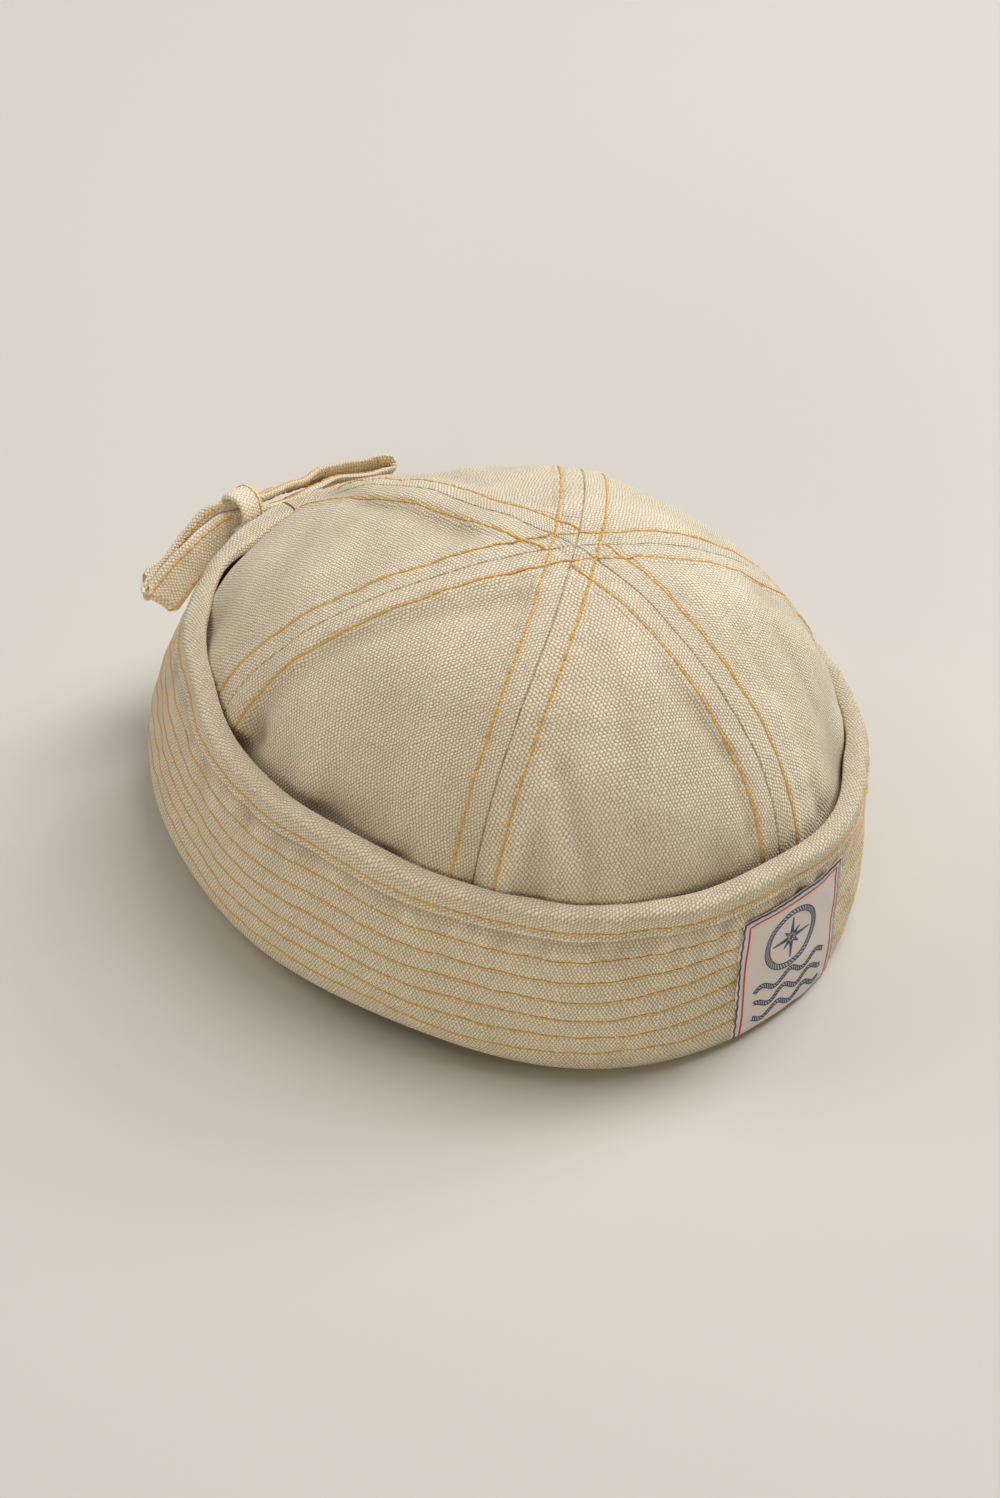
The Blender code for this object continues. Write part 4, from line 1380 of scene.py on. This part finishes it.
def weave_group() -> bpy.types.NodeTree:
    """Build the duck weave: rows of round beads, every second row moved by half a bead.

    With x = u / bead width and y = v / row height, the height is
    0.5 + 0.46 cos(2 pi x) cos(pi y) + 0.16 cos(2 pi y). Both coordinates wobble by a soft noise,
    and every bead is a little lighter or darker. Slub is the uneven thickness of single yarns,
    from noises stretched along the yarns.

    Returns:
        The group, with inputs Vector, Bead and Row and outputs Height and Slub.
    """
    tree = bpy.data.node_groups.new("duck_weave", "ShaderNodeTree")
    for name, way, kind in (("Vector", "INPUT", "Vector"), ("Bead", "INPUT", "Float"),
                            ("Row", "INPUT", "Float"), ("Height", "OUTPUT", "Float"),
                            ("Slub", "OUTPUT", "Float")):
        tree.interface.new_socket(name, in_out=way, socket_type=f"NodeSocket{kind}")
    g = Graph(tree)
    vector, *pitches = g.node("NodeGroupInput").outputs[:3]
    axes = g.given("ShaderNodeSeparateXYZ", vector)
    x, y = (g.math("DIVIDE", g.math("ADD", axis, g.swing(g.noise(vector, scale, 2.0), 0.5, size)),
                   pitch)
            for axis, pitch, scale, size in zip(axes.outputs, pitches, (0.35, 0.5), (1.6, 0.8)))
    row, half_row, bead = (g.math("COSINE", g.product(value, turns * math.pi))
                           for value, turns in ((y, 2.0), (y, 1.0), (x, 2.0)))
    height = g.math("MULTIPLY_ADD", g.product(bead, half_row), 0.46,
                    g.math("MULTIPLY_ADD", row, 0.16, 0.5))
    uneven = g.math("MULTIPLY_ADD", g.noise(vector, 1.3, 1.0), 0.5, 0.75)
    yarns = (g.given("ShaderNodeVectorMath", vector, stretch, operation="MULTIPLY").outputs[0]
             for stretch in ((0.12, 1.5, 1.0), (2.2, 0.1, 1.0)))
    slub = g.product(g.math("ADD", *(g.noise(yarn, 1.0, 1.0) for yarn in yarns)), 0.5)
    g.fill(g.node("NodeGroupOutput"), Height=g.product(height, uneven), Slub=slub)
    return tree


@dataclass(frozen=True)
class ClothFinish:
    """A woven finish: its colours, bead and row pitches in millimetres and how deep it looks."""

    name: str
    light: Colour
    # The shade colour is partly the weave's own colour and partly painted shade in the gaps
    # between beads.
    shade: Colour
    bead: float
    row: float
    depth: float
    mottle: float
    roughness: float = 0.9
    streaks: float = 0.55
    darkening: float = 1.15
    # The colour of painted shade, taken in up to darkening times the negative painted light.
    hollow: Colour = (0.20, 0.11, 0.045, 1.0)

    def build(self, weave: bpy.types.NodeTree) -> bpy.types.Material:
        """Return the material: woven colour with painted shade in the gaps, yarn streaks, broad
        mottling, the mesh's painted light and shade and a woven bump.
        """
        g = Surface(self.name)
        cloth = g.fill(g.node("ShaderNodeGroup", node_tree=weave), Vector=g.grain(),
                       Bead=self.bead, Row=self.row)
        height, slub = cloth.outputs
        uneven = g.math("ADD", g.swing(g.noise(g.place(), 22.0, 3.0), 0.5, self.mottle),
                        g.swing(slub, 0.5, self.streaks))
        # Low beads and the gaps between them take the shade colour, partly as painted shade.
        factor = g.math("ADD", g.spread(height, 0.06, 0.64, 0.0, 1.0), uneven)
        # The mesh's painted light and shade: positive values scale the colour up as a painted
        # highlight.
        tone = g.node("ShaderNodeAttribute", attribute_name="tone").outputs["Fac"]
        painted_highlit = g.fill(g.node("ShaderNodeVectorMath", operation="SCALE"),
                       Scale=g.math("ADD", g.math("MAXIMUM", tone, 0.0), 1.0))
        g.feed(painted_highlit.inputs[0], g.mix(factor, self.shade, self.light))
        # Negative painted light mixes in the hollow colour as painted shade.
        hollow = g.math("MAXIMUM", g.product(tone, -self.darkening), 0.0)
        relief = g.math("ADD", height, g.product(slub, 0.5))
        return g.finish(Base_Color=g.mix(hollow, painted_highlit.outputs[0], self.hollow),
                        Normal=g.bump(relief, self.depth), Roughness=self.roughness,
                        Sheen_Weight=0.12, Sheen_Roughness=0.6, Specular_IOR_Level=0.15)


@dataclass(frozen=True)
class ThreadFinish:
    """A twisted thread: its colour on top and its painted shade where it dives into the cloth,
    and how far it takes the second one at a stitch's ends."""

    name: str
    top: Colour
    deep: Colour
    along: float = 1.0
    ply_depth: float = 0.08

    def build(self) -> bpy.types.Material:
        """Return the material: painted shade darkens the colour at a stitch's ends and between the
        plies that twist round it.
        """
        g = Surface(self.name)
        along, around = g.given("ShaderNodeSeparateXYZ", g.grain()).outputs[:2]
        # The shift by whole stitches keeps what the modulo takes above zero.
        shifted = g.math("ADD", along, 100.5 * STITCH_SHIFT)
        centred = g.math("SUBTRACT", g.math("MODULO", shifted, STITCH_SHIFT), STITCH_SHIFT / 2.0)
        # Painted shade at both ends of each stitch, where it dives into the cloth.
        end = g.spread(g.math("ABSOLUTE", centred), 0.86, 0.96, 0.0, self.along)
        twist = g.math("SINE", g.math("ADD", g.product(centred, 11.0), g.product(around, 1.0)))
        ply = g.math("MULTIPLY_ADD", twist, 0.5, 0.5)
        speck = g.swing(g.noise(g.place(), 160.0, 1.0), 0.45, 0.7)
        # The grooves between the plies take a little painted shade; the specks are random.
        factor = g.math("ADD", end, g.math("MULTIPLY_ADD", ply, -0.18, speck))
        return g.finish(Base_Color=g.mix(factor, self.top, self.deep),
                        Normal=g.bump(ply, self.ply_depth), Roughness=0.55, Sheen_Weight=0.1)


# --- Bow ---

@dataclass(frozen=True)
class Tie:
    """One stretch of a flat tie: a loop runs out and folds back, a tail only runs out.

    Its width points along lean near the knot and along far_lean at its far end. Its flat length
    is in metres.
    """

    name: str
    flat_length: float
    lean: tuple[float, float, float]
    far_lean: tuple[float, float, float]
    out: tuple[tuple[float, float, float], ...]
    back: tuple[tuple[float, float, float], ...] = ()


@dataclass(frozen=True)
class Bow:
    """The flat ties, doubled and edge-stitched, and the strap of the knot round them.

    Surface is the share of a tie's thickness at which its stitches lie. The knot's strap turns
    from angle to angle about its axis, its radius growing by knot_lap as it laps over itself.
    """

    knot_flat: tuple[float, float] = (0.013, 0.034)
    width: float = 13.0
    thickness: float = 2.2
    steps: int = 12
    stitch_inset: float = 1.9
    pinch: float = 0.42
    pinch_from: tuple[float, float] = (2.0, 14.0)
    pinch_puff: float = 0.35
    end_cut: Bell = Bell(-0.22, 0.0, 1.3)
    lean_wave: Wave = Wave(0.12, 24.0, 44)
    soft: Wave = Wave(0.3, 12.0, 41)
    cupping: float = 0.6
    surface: float = 0.47
    knot_radius: float = 4.4
    knot_lap: float = 2.3
    knot_turn: tuple[float, float] = (-200.0, 205.0)
    knot_slide: float = 2.2
    knot_squash: tuple[float, float] = (0.98, 1.16)
    knot_axis: tuple[float, float, float] = (1.0, 0.12, -0.16)
    knot_flare: Wave = Wave(0.06, 9.0, 43)
    knot_width: float = 9.6
    knot_thickness: float = 2.3
    knot_drop: tuple[float, float, float] = (0.4, 0.8, -2.0)
    knot_row_from: int = 30
    ties: tuple[Tie, ...] = (
        Tie("tie_left_loop", 0.086, (-0.2, 0.28, 0.92), (-0.64, 0.26, 0.72),
            ((1.0, 110.0, 65.6), (-5.0, 110.2, 64.2), (-12.0, 111.2, 62.0),
             (-20.0, 111.9, 59.6), (-28.5, 112.3, 55.2), (-35.8, 112.5, 49.8)),
            ((-35.4, 115.3, 50.2), (-28.0, 115.8, 54.4), (-20.0, 115.8, 59.6),
             (-13.0, 115.0, 64.2), (-6.0, 113.2, 67.0), (0.0, 112.4, 67.6))),
        Tie("tie_left_tail", 0.032, (-0.33, -0.15, 0.93), (-0.33, -0.15, 0.93),
            ((-6.6, 119.5, 54.4), (-17.3, 119.7, 52.4), (-29.5, 119.4, 51.6),
             (-37.8, 118.8, 51.6))),
        Tie("tie_right_loop", 0.122, (0.08, -0.79, 0.61), (0.34, -0.52, 0.78),
            ((-6.0, 110.0, 65.8), (4.0, 110.4, 63.2), (22.4, 110.9, 60.8), (33.0, 110.4, 58.4),
             (46.0, 109.0, 54.4), (50.5, 108.6, 52.6)),
            ((50.8, 111.8, 55.8), (45.6, 112.8, 57.7), (33.0, 114.0, 61.0),
             (20.0, 114.2, 63.2), (6.0, 113.4, 65.6), (-5.0, 112.6, 67.4))),
        Tie("tie_right_tail", 0.034, (0.40, -0.20, 0.90), (0.40, -0.20, 0.90),
            ((6.0, 118.6, 53.0), (15.5, 119.4, 49.2), (27.0, 119.0, 44.2), (37.0, 117.6, 39.5))),
    )

    def path(self, tie: Tie) -> Array:
        """Return the tie's centre line, with a half circle where it folds back."""
        out = smooth_path(np.array(tie.out), self.steps)
        if not tie.back:
            return out
        back = smooth_path(np.array(tie.back), self.steps)
        middle, arm = (out[-1] + back[0]) / 2.0, (out[-1] - back[0]) / 2.0
        square = unit(np.cross(np.array(tie.far_lean), arm))
        reach = square * np.linalg.norm(arm) * np.sign(square @ (out[-1] - out[-2]))
        turns = np.radians(np.arange(15.0, 180.0, 15.0))[:, None]
        return np.vstack([out, middle + arm * np.cos(turns) + reach * np.sin(turns), back])

    def frame_of(self, tie: Tie, path: Array) -> tuple[Array, Array]:
        """Return the width direction and the face direction at each point of the path."""
        walked = run_length(path) / run_length(path)[-1]
        share = np.sin(walked * math.pi)[:, None] ** 2 if tie.back else walked[:, None]
        lean, far_lean = np.array(tie.lean), np.array(tie.far_lean)
        lean = lean + (far_lean - lean) * share
        lean[:, 1] += self.lean_wave.at(path)
        along = tangents(path)
        width = unit(lean - (along * lean).sum(axis=1, keepdims=True) * along)
        return width, np.cross(along, width)

    def gathering(self, tie: Tie, path: Array) -> Array:
        """Return the width's share at each point: gathered at the knot, or cut at a tail's end."""
        walked = run_length(path)
        to_end = walked[-1] - walked
        if not tie.back:
            return 1.0 + self.end_cut.at(to_end)
        opened = smooth_step(*self.pinch_from, np.minimum(walked, to_end))
        return self.pinch + (1.0 - self.pinch) * opened

    def cup(self, reach: Array, path: Array) -> Array:
        """Return how far the tie stands off its path, so far from its middle."""
        soft = self.soft.at(path).reshape(-1, *[1] * (reach.ndim - 1))
        return self.cupping * ((reach / self.width * 2.0) ** 2 - 0.4) + soft

    def ruled(self, tie: Tie) -> tuple[Array, Array, Array, Array]:
        """Return the path, the width direction, the face direction and the width's share."""
        path = self.path(tie)
        width, face = self.frame_of(tie, path)
        return path, width, face, self.gathering(tie, path)

    def band(self, tie: Tie) -> Skin:
        """Return the tie as a soft flat tube along its path, a little cupped and wavy."""
        path, width, face, share = self.ruled(tie)
        section = rounded_section(self.width, self.thickness, 36)
        reach = section[None, :, :1] * share[:, None, None]
        puff = 1.0 + self.pinch_puff * (1.0 - share[:, None, None])
        points = (path[:, None] + width[:, None] * reach
                  + face[:, None] * (section[None, :, 1:] * puff + self.cup(reach, path)))
        flat = tube(path, width, face, section)
        closed = np.concatenate([points, points[:, :1]], axis=1)
        return Skin(closed.reshape(-1, 3), flat.quads, flat.uv)

    def stitch_paths(self, tie: Tie) -> list[tuple[Array, Array]]:
        """Return the path and normals of the edge rows on both faces of the tie."""
        path, width, face, share = self.ruled(tie)
        inset = (self.width / 2.0 - self.stitch_inset) * share[:, None]
        puff = 1.0 + self.pinch_puff * (1.0 - share[:, None])
        half, cup = self.thickness * self.surface * puff, self.cup(inset, path)
        keep = (share > 0.75) if tie.back else np.ones(len(path), bool)
        return [((path + width * inset * edge + face * (turned * half + cup))[keep],
                 (face * turned)[keep]) for edge in (-1.0, 1.0) for turned in (-1.0, 1.0)]

    def knot(self) -> tuple[Skin, tuple[Array, Array]]:
        """Return the knot's strap, wound a little over once round the loops, and its edge row."""
        turn = np.radians(np.linspace(*self.knot_turn, 82))
        share = np.linspace(0.0, 1.0, len(turn))
        radius = self.knot_radius + self.knot_lap * smooth_step(0.72, 1.0, share)
        centre = KNOT_CENTRE + np.array(self.knot_drop)
        wide, tall = self.knot_squash
        path = centre + np.stack([self.knot_slide * (share - 0.5),
                                  -radius * np.cos(turn) * wide,
                                  radius * np.sin(turn) * tall], axis=-1)
        axis, along = unit(np.array(self.knot_axis)), tangents(path)
        side = unit(axis - (along @ axis)[:, None] * along)
        face = np.cross(along, side)
        flare = 1.0 + self.knot_flare.at(path)
        section = rounded_section(self.knot_width, self.knot_thickness, 28)
        strap = tube(path, side, face, section, flare)
        edge = self.knot_width / 2.0 - self.stitch_inset
        outward = (path - centre) * (1.0 - np.eye(3)[0])
        normal = face * np.sign((face * outward).sum(axis=1, keepdims=True))
        spot = path + side * (edge * flare)[:, None] + normal * self.knot_thickness * self.surface
        return strap, (spot[self.knot_row_from:], normal[self.knot_row_from:])


# --- Studio ---

def outlook(azimuth: float, elevation: float) -> tuple[Array, Array]:
    """Return the direction out to a viewer at these degrees, and the one to the viewer's right."""
    turn, lift = math.radians(azimuth), math.radians(elevation)
    right = np.array([math.cos(turn), math.sin(turn), 0.0])
    return np.array([math.sin(turn) * math.cos(lift), -math.cos(turn) * math.cos(lift),
                     math.sin(lift)]), right


def posed(right: Array, back: Array, place: Array) -> Matrix:
    """Return the matrix of something at a place whose X and Z axes are right and back."""
    matrix = np.eye(4)
    matrix[:3] = np.stack([right, np.cross(back, right), back, place], axis=1)
    return Matrix(matrix.tolist())


@dataclass(frozen=True)
class SoftLight:
    """A round soft light: where it stands (degrees, metres), its power in watts and colour."""

    name: str
    azimuth: float
    elevation: float
    power: float
    colour: tuple[float, float, float]
    size: float = 1.4
    distance: float = 2.5


@dataclass(frozen=True)
class Studio:
    """The camera, the pale floor and the soft lights."""

    azimuth: float = -45.35
    elevation: float = 38.07
    distance: float = 0.9704
    target_height: float = 50.0
    focal_pixels: float = 3382.65
    target_pixel: tuple[float, float] = (514.8, 709.0)
    image: tuple[int, int] = (1000, 1498)
    floor_half: float = 6.0
    floor_colours: tuple[Colour, Colour] = ((0.672, 0.64, 0.578, 1.0), (0.682, 0.65, 0.586, 1.0))
    room_colour: Colour = (1.0, 0.97, 0.93, 1.0)
    room_light: float = 0.02
    lights: tuple[SoftLight, ...] = (
        SoftLight("key", 78, 43, 28.6, (0.98, 0.97, 1.0), 1.2),
        SoftLight("top", 73, 70, 33.0, (0.98, 0.98, 0.98)),
        SoftLight("back", 210, 45, 11.2, (1.0, 0.92, 0.92)),
        SoftLight("back_high", 180, 70, 7.0, (1.0, 1.0, 0.95)),
        SoftLight("front", 297, 10, 21.2, (1.0, 0.93, 0.77)),
    )

    def camera(self, bench: Bench) -> None:
        """Make the camera at the photograph's angle.

        It is aimed beside the target, by the target's distance in pixels from the picture's
        middle over the focal length in pixels, so the lens needs no shift.
        """
        back, right = outlook(self.azimuth, self.elevation)
        place = bench.place(np.array([0.0, 0.0, self.target_height])) + back * self.distance
        aside = (self.image[0] / 2.0 - self.target_pixel[0]) / self.focal_pixels
        above = (self.target_pixel[1] - self.image[1] / 2.0) / self.focal_pixels
        back = unit(back - aside * right - above * np.cross(back, right))
        data = bpy.data.cameras.new("camera")
        data.sensor_width = 36.0
        data.lens = self.focal_pixels * data.sensor_width / max(self.image)
        data.clip_end = 50.0
        eye = linked("camera", data)
        eye.matrix_world = posed(unit(np.cross(UP, back)), back, place)
        bpy.context.scene.camera = eye

    def floor(self) -> None:
        """Make the pale seamless floor."""
        corners = [(x * self.floor_half, y * self.floor_half, 0.0)
                   for x, y in ((-1, -1), (1, -1), (1, 1), (-1, 1))]
        mesh = bpy.data.meshes.new("floor")
        mesh.from_pydata(corners, [], [(0, 1, 2, 3)])
        g = Surface("floor")
        colour = g.mix(g.noise(g.place(), 3.0, 3.0), *self.floor_colours)
        mesh.materials.append(g.finish(Base_Color=colour, Roughness=0.9, Specular_IOR_Level=0.2))
        linked("floor", mesh)

    def light(self) -> None:
        """Make the soft lights, a very weak room light and the plain view transform."""
        for light in self.lights:
            data = bpy.data.lights.new(light.name, "AREA")
            data.shape = "DISK"
            data.size = light.size
            data.energy = light.power
            data.color = light.colour
            back, right = outlook(light.azimuth, light.elevation)
            linked(light.name, data).matrix_world = posed(right, back, back * light.distance)
        world = bpy.data.worlds.new("room")
        world.use_nodes = True
        backdrop = world.node_tree.nodes["Background"]
        backdrop.inputs[0].default_value = self.room_colour
        backdrop.inputs[1].default_value = self.room_light
        bpy.context.scene.world = world
        bpy.context.scene.view_settings.view_transform = "Standard"


# --- The whole cap ---

@dataclass
class Cap:
    """Builds every piece and dresses it."""

    bench: Bench
    finishes: dict[Finish, bpy.types.Material]

    def piece(self, name: str, skin: Skin, finish: Finish, slot: str, stands_for: str,
              sharp: float = 50.0) -> bpy.types.Object:
        """Make a piece of cloth in the place of a CAD solid."""
        made = self.bench.make(name, skin, self.finishes[finish], slot, sharp)
        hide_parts(stands_for)
        return made

    def stitching(self, name: str, rows: list[Skin], slot: str) -> bpy.types.Object:
        """Make rows of stitches as one piece."""
        return self.bench.make(name, Skin.joined(rows), self.finishes[Finish.THREAD], slot, 80.0)

    def crown(self) -> None:
        """Make the gores and their rows."""
        crown = Crown()
        for index in range(crown.form.gores):
            made = self.piece(f"gore_{index + 1}", crown.gore(index), Finish.CANVAS, "canvas",
                              f"crown_panel_{index + 1}", 40.0)
        thread = Thread(radius=0.31)
        paths = [crown.row_path(row) for row in crown.rows]
        paths += [crown.long_row_path(side) for side in (-1, 1)]
        self.stitching("crown_stitching", [
            thread.row(crown.form.cloth_at(*path), crown.form.normals(*path), 100 + number)
            for number, path in enumerate(paths)], "canvas")

    def cuff(self) -> Cuff:
        """Make the cuff and its rows."""
        cuff = Cuff(CuffForm())
        made = self.piece("cuff_cloth", cuff.band(), Finish.CANVAS, "canvas", "cuff")
        thread = Thread(radius=0.24, lift=0.10)
        paths = [cuff.row_path(drop) for drop in cuff.form.lines]
        sewn = self.stitching("cuff_stitching", [
            thread.row(cuff.cloth_at(*path), cuff.form.normals(*path), 200 + number)
            for number, path in enumerate(paths)], "canvas")
        return cuff

    def patch(self, cuff: Cuff) -> None:
        """Make the patch with its frame line, border and motif."""
        patch = Patch(cuff)
        made = self.piece("patch_cloth", patch.cloth(), Finish.PATCH, "label_cloth",
                          "front_label", 60.0)
        threads = (("patch_frame", patch.frame_line(), Finish.RED),
                   ("patch_motif", patch.motif(), Finish.NAVY),
                   ("patch_edge", patch.side_edge(patch.width - 0.35), Finish.GREY))
        sewn = [self.bench.make(name, skin, self.finishes[finish], "label_cloth")
                for name, skin, finish in threads]

    def bow(self) -> None:
        """Make the ties, their edge rows and the knot."""
        bow, thread = Bow(), Thread()
        rows = []
        for number, tie in enumerate(bow.ties):
            made = self.piece(tie.name + "_cloth", bow.band(tie), Finish.TIE, "tie_canvas",
                              tie.name)
            rows += [thread.row(spot, normal, 300 + 10 * number + k)
                     for k, (spot, normal) in enumerate(bow.stitch_paths(tie))]
        strap, edge_row = bow.knot()
        made = self.piece("knot_strap", strap, Finish.TIE, "tie_canvas", "tie_knot")
        self.stitching("tie_stitching", rows + [thread.row(*edge_row, 390)], "tie_canvas")


def build_finishes() -> dict[Finish, bpy.types.Material]:
    """Return every finish, the woven ones sharing one weave."""
    weave = weave_group()
    cloths = {
        Finish.CANVAS: ClothFinish("canvas", (1.0, 0.89, 0.68, 1.0), (0.32, 0.25, 0.145, 1.0),
                                   1.06, 0.93, 0.24, 0.22),
        Finish.TIE: ClothFinish("tie_canvas", (1.0, 0.89, 0.70, 1.0), (0.46, 0.37, 0.23, 1.0),
                                1.06, 0.93, 0.22, 0.22),
        Finish.PATCH: ClothFinish("label_cloth", (0.90, 0.81, 0.75, 1.0),
                                  (0.72, 0.62, 0.56, 1.0), 0.5, 0.32, 0.05, 0.12, 0.8)}
    # Each thread's second colour is the painted shade where it dives into the cloth.
    threads = {
        Finish.THREAD: ThreadFinish("stitch_thread", (0.86, 0.47, 0.055, 1.0),
                                    (0.16, 0.035, 0.01, 1.0)),
        Finish.NAVY: ThreadFinish("navy_thread", (0.035, 0.07, 0.14, 1.0),
                                  (0.02, 0.035, 0.07, 1.0), 0.2),
        Finish.GREY: ThreadFinish("grey_thread", (0.55, 0.50, 0.46, 1.0),
                                  (0.30, 0.27, 0.26, 1.0), 0.5),
        Finish.RED: ThreadFinish("red_thread", (0.60, 0.025, 0.035, 1.0),
                                 (0.40, 0.02, 0.03, 1.0), 0.2)}
    return ({key: finish.build(weave) for key, finish in cloths.items()}
            | {key: finish.build() for key, finish in threads.items()})


def main() -> None:
    """Build the cap in order: crown, cuff, patch and bow, then the studio."""
    logging.basicConfig(level=logging.INFO, format="%(name)s %(message)s")
    bench = Bench()
    cap = Cap(bench, build_finishes())
    cap.crown()
    cuff = cap.cuff()
    cap.patch(cuff)
    cap.bow()
    studio = Studio()
    studio.camera(bench)
    studio.floor()
    studio.light()
    bpy.context.view_layer.update()


if __name__ == "__main__":
    main()
